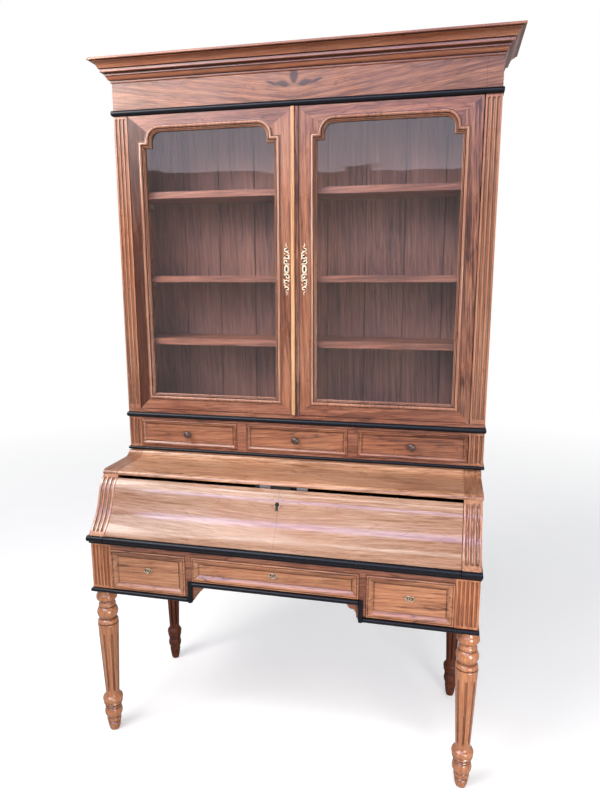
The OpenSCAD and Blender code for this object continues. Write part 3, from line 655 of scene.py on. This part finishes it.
def door(side):
    """Stiles and rails that meet in mitres round the glazing, and the moulded bead that holds the pane."""
    word = "left" if side < 0 else "right"
    body = "door_" + word
    lo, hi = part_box(f"door_{word}_frame")
    front, inner, outer = lo.y + 0.008, 0.001, max(abs(lo.x), abs(hi.x))
    hole = glazing(side, 0.008)
    right_arc, left_arc = hole[4:5 + ARC_STEPS], hole[5 + ARC_STEPS:6 + 2 * ARC_STEPS]
    bottom_inner, bottom_outer, top_outer, top_inner = (
        (side * x, z) for x, z in ((inner, lo.z), (outer, lo.z), (outer, hi.z), (inner, hi.z)))
    inner_stile = [top_inner, bottom_inner, hole[0], hole[-1], hole[-2]] + left_arc[:-1 - MITRE_STEP:-1]
    outer_stile = [bottom_outer, top_outer] + right_arc[MITRE_STEP - 1::-1] + [hole[3], hole[2], hole[1]]
    top_rail = ([top_outer, top_inner] + left_arc[-MITRE_STEP:-len(left_arc) - 1:-1]
                + right_arc[:MITRE_STEP - 2:-1])
    shape = Shape()
    for outline, mat in ((inner_stile, 2), (outer_stile, 0), (top_rail, 1),
                         ([bottom_inner, bottom_outer, hole[1], hole[0]], 1)):
        shape.prism_y(outline, front, hi.y, mat)
    shape.loft([[(side * x, front - h, z) for x, h in mm(STRIPS[side])] for z in (lo.z, hi.z)],
               3 if side < 0 else 0)
    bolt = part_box("door_lock_bolt")
    ends = sorted((side * 0.0002, side * (0.0138 if side < 0 else 0.0315)))
    slot = Shape().block((ends[0], bolt[0].y - 0.0005, bolt[0].z - 0.0005),
                         (ends[1], bolt[1].y + 0.0005, bolt[1].z + 0.0005))
    make(f"door_{word}_joinery", shape, body, [STILE if side < 0 else STILE_RIGHT, FRAME_H, INNER_STILE,
                                               STRIP],
         [f"door_{word}_frame"], bevel=0.00035, crease=30, cuts=[slot])

    shape = Shape()
    for profile in (BEAD_FRONT, BEAD_BACK):
        rings = [[(x, front - h, z) for x, z in glazing(side, d)] for d, h in profile]
        shape.loft([[ring[i] for ring in rings] for i in range(len(rings[0]))], closed_path=True)
    make(f"door_{word}_glazing_bead", shape, body, [GLAZING], [f"door_{word}_moulding"],
         crease=38)


for side in (-1, 1):
    door(side)


# ---------------------------------------------------------------- drawers and knobs

FRONT_THICK, BOX_BOARD, BOX_GAP, BOX_DROP = 0.020, 0.010, 0.0015, 0.010


def drawer(node_name, body, profile, material, lock=None):
    """A drawer with a moulded front and an open box, to its CAD node's extents, slotted for its lock."""
    lo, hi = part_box(node_name)
    rings = []
    for inset, depth in profile:
        a, b, c, d = lo.x + inset, hi.x - inset, lo.z + inset, hi.z - inset
        rings.append([(x, lo.y + depth, z) for x, z in ((a, c), (b, c), (b, d), (a, d))])
    shape = Shape().loft([[(x, lo.y + FRONT_THICK, z) for x, _, z in rings[0]]] + rings)
    x0, y0, z0 = lo.x + BOX_GAP, lo.y + FRONT_THICK, lo.z + 0.001
    x1, y1, z1 = hi.x - BOX_GAP, hi.y, hi.z - BOX_DROP
    for a, b in ((x0, x0 + BOX_BOARD), (x1 - BOX_BOARD, x1)):
        shape.block((a, y0, z0), (b, y1, z1), 1)
    shape.block((x0 + BOX_BOARD, y1 - BOX_BOARD, z0 + BOX_BOARD), (x1 - BOX_BOARD, y1, z1), 1)
    shape.block((x0 + BOX_BOARD, y0, z0), (x1 - BOX_BOARD, y1, z0 + BOX_BOARD), 1)
    cuts = []
    if lock:
        a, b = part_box(lock)
        cuts.append(Shape().block((a.x - 0.001, a.y - 0.0005, a.z - 0.001),
                                  (b.x + 0.001, b.y + 0.0005, hi.z + 0.002)))
    make(body + "_box", shape, body, [material, DRAWER_BOX], [node_name], crease=24, cuts=cuts)


SMALL_FACE = mm([(0, 2.4), (0.8, 0.7), (1.8, 0), (3.6, 0), (4.2, 1.3), (4.8, 1.3), (5.4, 0.2), (6.4, 0.3),
                 (8.6, 1.3), (12.4, 4.4), (14.2, 5.6), (14.8, 6.2), (15.8, 6.2), (16.4, 5.0)])
LARGE_FACE = mm([(0, 2.4), (1.0, 0.7), (2.2, 0), (4.8, 0), (5.4, 1.7), (6.2, 1.7), (6.8, 0.2), (8.2, 0.2),
                 (10.6, 1.0), (15.0, 3.8), (20.0, 7.0), (22.6, 8.3), (23.4, 9.0), (24.8, 9.0), (25.6, 7.4)])
KNOB_PROFILE = mm([(0.01, 0), (9.0, 0), (9.6, 0.8), (9.4, 1.8), (8.4, 2.6), (6.4, 3.2), (5.4, 4.6),
                   (5.0, 7.0),
                   (5.6, 9.4), (8.0, 11.2), (11.4, 13.0), (13.4, 15.4), (14.0, 18.0), (13.6, 20.2),
                   (12.2, 22.2),
                   (10.0, 23.4), (8.8, 23.6), (8.2, 23.1), (7.4, 23.6), (4.4, 24.7), (0.01, 25.0)])
for place in ("left", "middle", "right"):
    drawer("upper_drawer_" + place, "top_drawer_" + place, SMALL_FACE, SMALL_FIELD)
    drawer("lower_drawer_" + place, "desk_drawer_" + place, LARGE_FACE, FIELD, lock="lock_bolt_" + place)
    lo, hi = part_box("knob_" + place)
    centre = ((lo.x + hi.x) / 2, hi.y, (lo.z + hi.z) / 2)
    make(f"turned_knob_{place}", Shape().lathe(KNOB_PROFILE, centre, "Y"), "top_drawer_" + place, [KNOB],
         ["knob_" + place], crease=50)


# ---------------------------------------------------------------- desk top, fall front and corbels

FALL_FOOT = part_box("fall_front")[0].z + 0.0012


def cut_at(points, z):
    """Drops the end of a (y, z) line below a level, ending it exactly there."""
    kept = []
    for p, q in zip(points, points[1:]):
        kept.append(p)
        if q[1] < z:
            share = (z - p[1]) / (q[1] - p[1])
            kept.append((p[0] + (q[0] - p[0]) * share, z))
            return kept
    return points


lo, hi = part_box("fall_front")
start = math.asin((DESK_UNDER - 0.0082 - SHOULDER.y) / SHOULDER_R)
outer, inner = (cut_at(ogee(d, start), FALL_FOOT) for d in (0.0, 0.020))
shape = Shape().prism_x(outer + inner[::-1], lo.x, hi.x)
shape.prism_x(arc(outer[-1], 0.0012, 0, 345, 12), lo.x, hi.x)
tilt = Matrix.Rotation(-start, 3, "X")
core = SHOULDER_R - 0.012
edge = Vector((0, SHOULDER.x - core * math.cos(start), SHOULDER.y + core * math.sin(start)))
cuts = []
for a, b in ((-0.076, -0.034), (0.034, 0.076)):
    ring = [(a, -0.003), (b, -0.003), (b, 0.003), (a, 0.003)]
    cuts.append(Shape().loft([[tuple(edge + tilt @ Vector((x, y, z))) for x, y in ring]
                              for z in (-0.025, 0.002)]))
make("fall_front_panel", shape, "fall", [FALL], ["fall_front"], bevel=0.0006, crease=25,
     cuts=cuts)

KEEP_Y, KEEP_Z = BASE_Y + 0.113, DESK_UNDER - 0.016       # front and underside of the lock's keep
top_z, cove_z = DESK_UNDER + 0.016, DESK_TOP[1].z
profile = ([(BACK, DESK_UNDER), (BACK, cove_z)] + bow((CASE_Y - 0.026, cove_z), (CASE_Y - 0.064, top_z),
                                                      0.006, 10)
           + arc((BASE_Y + 0.130, DESK_UNDER), 0.016, 90, 180, 12))
end, joint = DESK_TOP[1].x, CORBEL_X[0] + 0.001
shape = Shape()
for a, b, mat in ((-end, -joint, 1), (-joint, joint, 2), (joint, end, 1)):
    shape.prism_x(profile, a, b, mat)
# The lock's keep in the gap above the fall is near-black: painted shade.
shape.block((-0.090, KEEP_Y, KEEP_Z), (0.090, KEEP_Y + 0.020, DESK_UNDER + 0.0005), 0)
cuts = [Shape().block((a, KEEP_Y - 0.002, KEEP_Z - 0.002), (b, KEEP_Y + 0.012, DESK_UNDER - 0.003))
        for a, b in ((-0.077, -0.033), (0.033, 0.077))]
make("desk_top_board", shape, "root", [SHADE_BLACK, CROSS, LEDGE], ["desk_top"], crease=25, cuts=cuts)


CORBEL_COLUMNS = 58
FLUTE_HALF, FLUTE_PITCH, FLUTE_DEPTH = 0.0058, 0.0158, 0.0052
ARRIS = 0.0012       # how far the corbel's long edges are rounded off


def corbel(side):
    """Ogee bracket with three round-topped flutes and a plain foot."""
    x0, x1 = CORBEL_X
    mid = (x0 + x1) / 2
    line = cut_at(ogee(0.0, OGEE_TOP, n=(26, 44)), SLIDE[1].z)
    lengths = [0.0]
    for p, q in zip(line, line[1:]):
        lengths.append(lengths[-1] + math.dist(p, q))
    stations = []
    for i, (y, z) in enumerate(line):
        a, b = line[max(i - 1, 0)], line[min(i + 1, len(line) - 1)]
        along = Vector((b[0] - a[0], b[1] - a[1])).normalized()
        inward = Vector((-along.y, along.x))
        top, foot = lengths[i] - 0.012, lengths[-1] - 0.020 - lengths[i]
        ends = sum((min(0.0, d - FLUTE_HALF) / FLUTE_HALF) ** 2 for d in (top, foot))
        row = []
        for k in range(CORBEL_COLUMNS + 1):
            x = x0 + (x1 - x0) * k / CORBEL_COLUMNS
            u = min(abs(x - mid - c * FLUTE_PITCH) for c in (-1, 0, 1))
            inside = 1 - (u / FLUTE_HALF) ** 2 - ends
            sink = FLUTE_DEPTH * math.sqrt(max(0.0, inside)) if top > 0 and foot > 0 else 0.0
            sink += ARRIS * (max(0.0, 1 - (x - x0) / 0.0015) + max(0.0, 1 - (x1 - x) / 0.0015))
            row.append((side * x, y + inward.x * sink, z + inward.y * sink))
        y2, z2 = y + inward.x * 0.030, max(z + inward.y * 0.030, SLIDE[1].z)
        row += [(side * x1, y2, z2), (side * x0, y2, z2)]
        stations.append(row)
    word = "left" if side < 0 else "right"
    make(f"corbel_{word}_fluted", Shape().loft(stations), "root", [CORBEL], [f"corbel_{word}"])


for side in (-1, 1):
    corbel(side)


# ---------------------------------------------------------------- legs

LEG_R = 37.0         # radius of the front legs' widest ring, in millimetres
LEG_FLUTES, LEG_FLUTE_HALF, LEG_FLUTE_DEPTH = 8, 0.155, 0.0036
LEG_FLUTE_FOOT, LEG_FLUTE_TOP = 166, 402
LEG_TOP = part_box("base_post_left")[0].z * 1000
LEG_PROFILE = (
    [(0.01, 0), (14, 0)] + bow((17, 1.5), (22.6, 28), -1.0, 6)
    + [(21.6, 30), (23.4, 31.5), (24.0, 34.5), (22.0, 37), (22.2, 38.2), (25.2, 40), (25.8, 47), (24.8, 53),
       (23.6, 55)]
    + bow((25.2, 57), (27.8, 93), -5.4, 14)
    + [(25.8, 95), (25.6, 96.5), (28.6, 98), (30.0, 101), (28.8, 104), (27.0, 105.5), (26.8, 108),
       (30.6, 110),
       (33.2, 112), (34.2, 115), (33.0, 118), (32.2, 119.5), (34.4, 122)]
    + bow((35.0, 125), (34.2, 138), -1.4, 6) + bow((32.6, 140.5), (24.6, 156), 2.4, 8)
    + [(24.4 + 11.8 * i / 60, 158 + 268 * i / 60) for i in range(61)]
    + [(36.2, 428), (37.0, 430), (37.0, 433), (35.6, 435.5), (33.0, 437), (33.0, 438.2), (35.6, 440)]
    + bow((36.2, 442), (30.6, 454), -1.8, 8) + [(28.0, 456), (27.6, 458)]
    + bow((29.4, 460), (29.8, 500), -7.4, 20) + [(27.0, 502), (26.6, 503.4), (29.2, 505)]
    + bow((30.2, 508), (26.6, 518), -0.8, 6) + [(25.2, 521), (25.2, 526), (27.0, 529), (32.6, 530.4),
                                                (35.4, 532.6)]
    + bow((36.6, 536), (35.4, 547), -0.4, 6) + bow((34.4, 550), (27.6, 568), 1.2, 8)
    + [(27.4, 572), (28.6, LEG_TOP)])


def fluted(r, h, a):
    """Radius of a leg at a height and angle, hollowed by its flutes between their rounded ends."""
    z = h * 1000
    if not LEG_FLUTE_FOOT < z < LEG_FLUTE_TOP:
        return r
    u = ((a * LEG_FLUTES / (2 * math.pi) + 0.5) % 1.0 - 0.5) / LEG_FLUTE_HALF
    top, foot = min(0.0, (LEG_FLUTE_TOP - z) / 6 - 1), min(0.0, (z - LEG_FLUTE_FOOT) / 8 - 1)
    return r - LEG_FLUTE_DEPTH * math.sqrt(max(0.0, 1 - u ** 2 - top ** 2 - foot ** 2))


def leg(name, ring_r, material):
    """A turned and fluted leg, its profile scaled to the radius of its widest ring."""
    lo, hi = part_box(name)
    centre = ((lo.x + hi.x) / 2, (lo.y + hi.y) / 2, 0.0)
    hollow = [LEG_FLUTE_HALF * math.sin(math.radians(k)) for k in range(-80, 81, 20)]
    across = [-0.48, -0.34, -0.21, -0.165] + hollow + [0.165, 0.21, 0.34]
    angles = [(k + u) * 2 * math.pi / LEG_FLUTES for k in range(LEG_FLUTES) for u in across]
    profile = mm([(r * (ring_r / LEG_R), h) for r, h in LEG_PROFILE])
    make(name + "_turned", Shape().lathe(profile, centre, "Z", fluted, angles), "root", [material], [name],
         crease=30)


# The rear legs are slimmer and take the darker copy of the walnut, which is painted shade.
for place, ring_r, material in (("front", LEG_R, TURNED), ("rear", 31.0, TURNED_SHADED)):
    for word in ("left", "right"):
        leg(f"leg_{place}_{word}", ring_r, material)


# ---------------------------------------------------------------- brass, keyholes and leather

class Plate:
    """Flat metal ornament, drawn in (right, up) millimetres on a plane with its own frame."""

    def __init__(self, origin, right, up):
        self.o, self.u, self.v = Vector(origin), Vector(right), Vector(up)
        self.n = self.u.cross(self.v)
        self.shape = Shape()

    def at(self, u, v, h):
        return tuple(self.o + (self.u * u + self.v * v + self.n * h) / 1000)

    def ribbon(self, path, widths, rise=2.2, closed=False):
        """A rounded strip along a path, its half width one number or one for each point."""
        stations = []
        n = len(path)
        for i, (u, v) in enumerate(path):
            a = path[(i - 1) % n] if closed or i else path[0]
            b = path[(i + 1) % n] if closed or i < n - 1 else path[-1]
            d = Vector((b[0] - a[0], b[1] - a[1])).normalized()
            w = widths[i] if isinstance(widths, list) else widths
            station = []
            for q in (math.radians(k) for k in (180, 150, 120, 90, 60, 30, 0)):
                off = w * math.cos(q)
                station.append(self.at(u - d.y * off, v + d.x * off, rise * min(1, w) * math.sin(q)))
            stations.append(station)
        self.shape.loft(stations, closed_path=closed)

    def disc(self, u, v, ru, rv, rise, mat=0, n=24):
        """An oval boss with a soft edge."""
        angles = [2 * math.pi * i / n for i in range(n)]
        self.shape.loft([[self.at(u + ru * k * math.cos(a), v + rv * k * math.sin(a), h) for a in angles]
                         for k, h in ((1, 0), (1, rise * 0.6), (0.92, rise * 0.9), (0.6, rise),
                                      (0.01, rise))],
                        mat)

    def keyhole(self, u, v, r, h):
        """A round eye over a flared slot, as a thin dark inlay of painted shade where the hole is."""
        ring = arc((u, v), r, -60, 240, 14) + [(u - r * 0.75, v - r * 2.6), (u + r * 0.75, v - r * 2.6)]
        self.shape.loft([[self.at(a, b, k) for a, b in ring] for k in (-0.9, h)], 1)


def spiral(centre, r0, r1, a0, a1, n, flip=1):
    """Points of a spiral from radius r0 at angle a0 to r1 at a1; a flip of -1 mirrors it."""
    points = []
    for i in range(n + 1):
        s = i / n
        a, r = math.radians(a0 + (a1 - a0) * s), r0 + (r1 - r0) * s ** 0.8
        points.append((centre[0] + flip * r * math.cos(a), centre[1] + r * math.sin(a)))
    return points


def taper(points, first, last, belly=0.55):
    """Half widths along a scroll: from first to last, fuller in the middle."""
    n = len(points) - 1
    return [first + (last - first) * i / n + belly * math.sin(math.pi * i / n) for i in range(n + 1)]


def oval(ru, rv, n=36):
    angles = [2 * math.pi * i / n for i in range(n)]
    return [(ru * math.cos(a), rv * math.sin(a)) for a in angles]


def door_plate(side):
    """Pierced keyhole plate: a chain of open scrolls above and below a keyed oval."""
    word = "left" if side < 0 else "right"
    lo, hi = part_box(f"door_{word}_escutcheon")
    plate = Plate(((lo.x + hi.x) / 2, hi.y, (lo.z + hi.z) / 2), (side, 0, 0), (0, 0, 1))
    plate.n *= side
    for turn in (1, -1):
        def stroke(points, first, last, belly=0.7):
            plate.ribbon([(turn * u * 1.15, turn * v) for u, v in points],
                         taper(points, first, last, belly))

        def boss(u, v, ru, rv, rise, mat=0):
            plate.disc(turn * u, turn * v, ru, rv, rise, mat)

        # The flat dark discs under the scrolls are painted shade seen through the piercings.
        boss(1.9, 26.0, 6.2, 6.2, 0.2, 1)
        stroke(spiral((1.8, 26.0), 9.4, 2.6, -140, 190, 34), 1.5, 1.5)
        boss(-0.8, 26.2, 2.1, 2.1, 2.8)
        boss(-2.8, 45.0, 5.2, 5.2, 0.2, 1)
        stroke(spiral((-2.4, 45.0), 9.0, 2.6, 330, 40, 32), 1.5, 1.5)
        stroke([(6.8, 32.0), (8.6, 36.0), (6.8, 40.0), (5.2, 43.4)], 0.9, 1.2, 1.0)
        stroke(bow((-8.8, 50.5), (3.0, 61.0), 2.6, 8), 1.1, 1.1, 0.9)
        boss(1.2, 68.0, 4.6, 4.6, 0.2, 1)
        stroke(spiral((1.0, 68.0), 8.2, 2.4, 200, 500, 30), 1.4, 1.4)
        stroke([(-3.0, 74.6), (-1.0, 79.0), (2.0, 82.0), (0.6, 87.0), (0.0, 91.0)], 1.1, 0.6, 0.9)
        boss(7.6, 54.5, 2.1, 1.8, 2.2)
        boss(-9.6, 36.0, 2.2, 1.9, 2.2)
        stroke([(-6.0, 13.5), (-7.6, 17.0), (-5.6, 20.5)], 0.9, 0.9, 1.1)
    plate.disc(0, 0, 7.0, 13.4, 0.8)
    plate.ribbon(oval(7.4, 13.8), 1.7, closed=True)
    # A dark oval of painted shade inside the keyed oval.
    plate.disc(0, 0.5, 4.0, 8.8, 1.1, 1)
    make(f"door_{word}_keyhole_plate", plate.shape, "door_" + word, [BRASS, SHADE_BLACK],
         [f"door_{word}_escutcheon"], crease=45)


def drawer_plate(place):
    """Small oval keyhole plate with a pierced border, let into a drawer's field."""
    lo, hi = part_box("lower_drawer_" + place)
    centre = ((lo.x + hi.x) / 2, lo.y + 0.0051, (lo.z + hi.z) / 2 + 0.006)
    plate = Plate(centre, (1, 0, 0), (0, 0, 1))
    # A flat dark disc of painted shade behind the pierced border.
    plate.disc(0, 0, 13.0, 8.2, 0.5, 1)
    for turn in (1, -1):
        eye = [(turn * u, turn * v) for u, v in arc((0, -8.6), 17.6, 30, 150, 18)]
        plate.ribbon(eye, taper(eye, 0.9, 1.1), 1.6)
        curl = spiral((turn * 10.6, 0), 3.6, 1.2, 200, 470, 16, flip=turn)
        plate.ribbon(curl, taper(curl, 0.7, 0.8), 1.4)
        plate.disc(turn * 15.2, 0, 1.7, 1.3, 1.6)
        plate.disc(0, turn * 9.4, 1.8, 1.3, 1.6)
    plate.ribbon(oval(5.6, 6.2), 1.3, 1.8, closed=True)
    plate.disc(0, 0, 5.0, 5.6, 1.0)
    plate.keyhole(0, 1.4, 1.9, 1.25)
    make(f"drawer_keyhole_plate_{place}", plate.shape, "desk_drawer_" + place, [DULL_BRASS, SHADE_BLACK],
         crease=45)


for side in (-1, 1):
    door_plate(side)
for place in ("left", "middle", "right"):
    drawer_plate(place)

FALL_KEY_X, FALL_KEY_Z = -0.003, 0.918
a = math.asin((FALL_KEY_Z - SHOULDER.y) / SHOULDER_R)
plate = Plate((FALL_KEY_X, SHOULDER.x - SHOULDER_R * math.cos(a), FALL_KEY_Z), (1, 0, 0),
              (0, math.sin(a), math.cos(a)))
plate.o -= plate.n * 0.0004
plate.ribbon(arc((0, 2.5), 9.0, -58, 238, 22) + [(-5.6, -8.5), (-6.2, -14.0), (6.2, -14.0), (5.6, -8.5)],
             0.7, 0.8, closed=True)
plate.keyhole(0, 2.5, 7.8, 0.52)
for u, v in ((-9.5, -32), (0.5, -34.5), (7.5, -31.5)):
    plate.disc(u, v, 1.0, 1.0, 0.12, 1, 10)
make("fall_keyhole_lining", plate.shape, "fall", [DULL_BRASS, SHADE_BLACK], crease=45)

shape = Shape()
for a, b in ((-0.074, -0.036), (0.056, 0.094)):
    shape.block((a, KEEP_Y - 0.0012, KEEP_Z + 0.0045), (b, KEEP_Y - 0.0001, DESK_UNDER - 0.0002))
make("lock_strike_plates", shape, "root", [STEEL], bevel=0.0004, crease=32)

lo, hi = SLIDE
shape = Shape()
for inset, mat, top in ((0.045, 0, 0.0007), (0.052, 1, 0.0009), (0.0545, 0, 0.0011)):
    shape.block((lo.x + inset, lo.y + inset + 0.015, hi.z - 0.0002),
                (hi.x - inset, hi.y - inset - 0.07, hi.z + top), mat)
make("writing_leather_inset", shape, "slide", [LEATHER, GILT], bevel=0.0001, crease=32)


# ---------------------------------------------------------------- floor, lights and camera

def camera():
    """The viewpoint: a standing adult's eye, right of the middle, looking slightly down and left."""
    data = bpy.data.cameras.new("camera")
    data.sensor_width, data.lens = 36.0, 28.97
    data.clip_start, data.clip_end = 0.05, 60
    cam = link(bpy.data.objects.new("camera", data))
    turn = (Matrix.Rotation(math.radians(12.90), 4, "Z") @ Matrix.Rotation(math.radians(-10.891), 4, "X")
            @ Matrix.Rotation(math.radians(0.112), 4, "Y"))
    upright = Matrix.Rotation(math.radians(90), 4, "X")
    cam.matrix_world = Matrix.Translation((0.5307, -2.1893, 1.6725)) @ turn @ upright
    bpy.context.scene.camera = cam


def light(name, at, aim, size, power, colour, spread=180, sheen_only=False):
    """A soft rectangular lamp turned to its aim; a sheen-only lamp shows in gloss and lights nothing."""
    data = bpy.data.lights.new(name, "AREA")
    data.shape, data.size, data.size_y = "RECTANGLE", size[0], size[1]
    data.energy, data.color, data.spread = power, colour, math.radians(spread)
    lamp = link(bpy.data.objects.new(name, data))
    lamp.location = at
    lamp.rotation_euler = (Vector(aim) - Vector(at)).to_track_quat("-Z", "Y").to_euler()
    lamp.visible_diffuse = not sheen_only


def studio():
    """A pale floor that fades out, a white backdrop and soft lamps."""
    mat, t, bsdf = new_material("pale_floor")
    p = node(t, "TexCoord").outputs["Object"]
    paths = node(t, "LightPath")
    tone = span(t, noise(t, p, 1.5, 4), 0.3, 0.7, 0.86, 0.90)
    tone = math_node(t, "MULTIPLY", tone, span(t, paths.outputs["Is Camera Ray"], 0, 1, 0.6, 1.0))
    t.links.new(node(t, "CombineColor", {0: tone, 1: tone, 2: tone}).outputs[0], bsdf.inputs["Base Color"])
    bsdf.inputs["Roughness"].default_value = 0.7
    bsdf.inputs["Emission Color"].default_value = (1, 1, 1, 1)
    t.links.new(math_node(t, "MULTIPLY", paths.outputs["Is Camera Ray"], 0.28),
                bsdf.inputs["Emission Strength"])
    spread = node(t, "VectorMath", {0: p}, operation="LENGTH").outputs[1]
    away = node(t, "MixShader", {0: span(t, spread, 1.6, 5.5, 0.0, 1.0), 1: bsdf.outputs[0],
                                 2: node(t, "BsdfTransparent").outputs[0]})
    t.links.new(away.outputs[0], t.nodes["Material Output"].inputs["Surface"])
    mesh = bpy.data.meshes.new("floor")
    mesh.from_pydata([(-12, -8, 0), (12, -8, 0), (12, 12, 0), (-12, 12, 0)], [], [(0, 1, 2, 3)])
    mesh.materials.append(mat)
    link(bpy.data.objects.new("floor", mesh))
    world = bpy.data.worlds.new("soft_white")
    world.use_nodes = True
    w = world.node_tree
    seen = node(w, "LightPath").outputs["Is Camera Ray"]
    backdrop = node(w, "Background", {"Color": (1, 1, 1, 1), "Strength": 1.0})
    w.nodes["Background"].inputs[0].default_value = (0.93, 0.95, 1.0, 1)
    w.nodes["Background"].inputs[1].default_value = 0.5
    both = node(w, "MixShader", {0: seen, 1: w.nodes["Background"].outputs[0], 2: backdrop.outputs[0]})
    w.links.new(both.outputs[0], w.nodes["World Output"].inputs["Surface"])
    bpy.context.scene.world = world
    light("key", (-1.9, -2.3, 3.7), (-0.1, 0, 1.3), (2.2, 1.8), 99, (1.0, 0.972, 0.962))
    light("edge", (-1.7, -1.1, 2.7), (-0.55, 0, 2.25), (0.5, 0.5), 9, (1.0, 0.96, 0.90), 100)
    light("fill", (2.2, -2.9, 1.0), (0.80, -0.2, 0.66), (1.4, 1.2), 22, (1.0, 0.95, 0.90), 84)
    light("strip", (-0.2, -1.55, 3.15), (0.0, -0.2, 0.87), (1.9, 0.22), 14, (1.0, 0.98, 0.95))
    light("glow", (-1.0, -6.0, 3.75), (0.0, -0.2, 0.9), (7.0, 1.6), 62, (0.90, 0.84, 1.0))
    light("streak", (-0.8, -6.0, 5.1), (0.0, -0.2, 0.9), (6.0, 1.1), 270, (0.42, 0.48, 1.0),
          sheen_only=True)
    bpy.context.scene.view_settings.view_transform = "Standard"


studio()
camera()
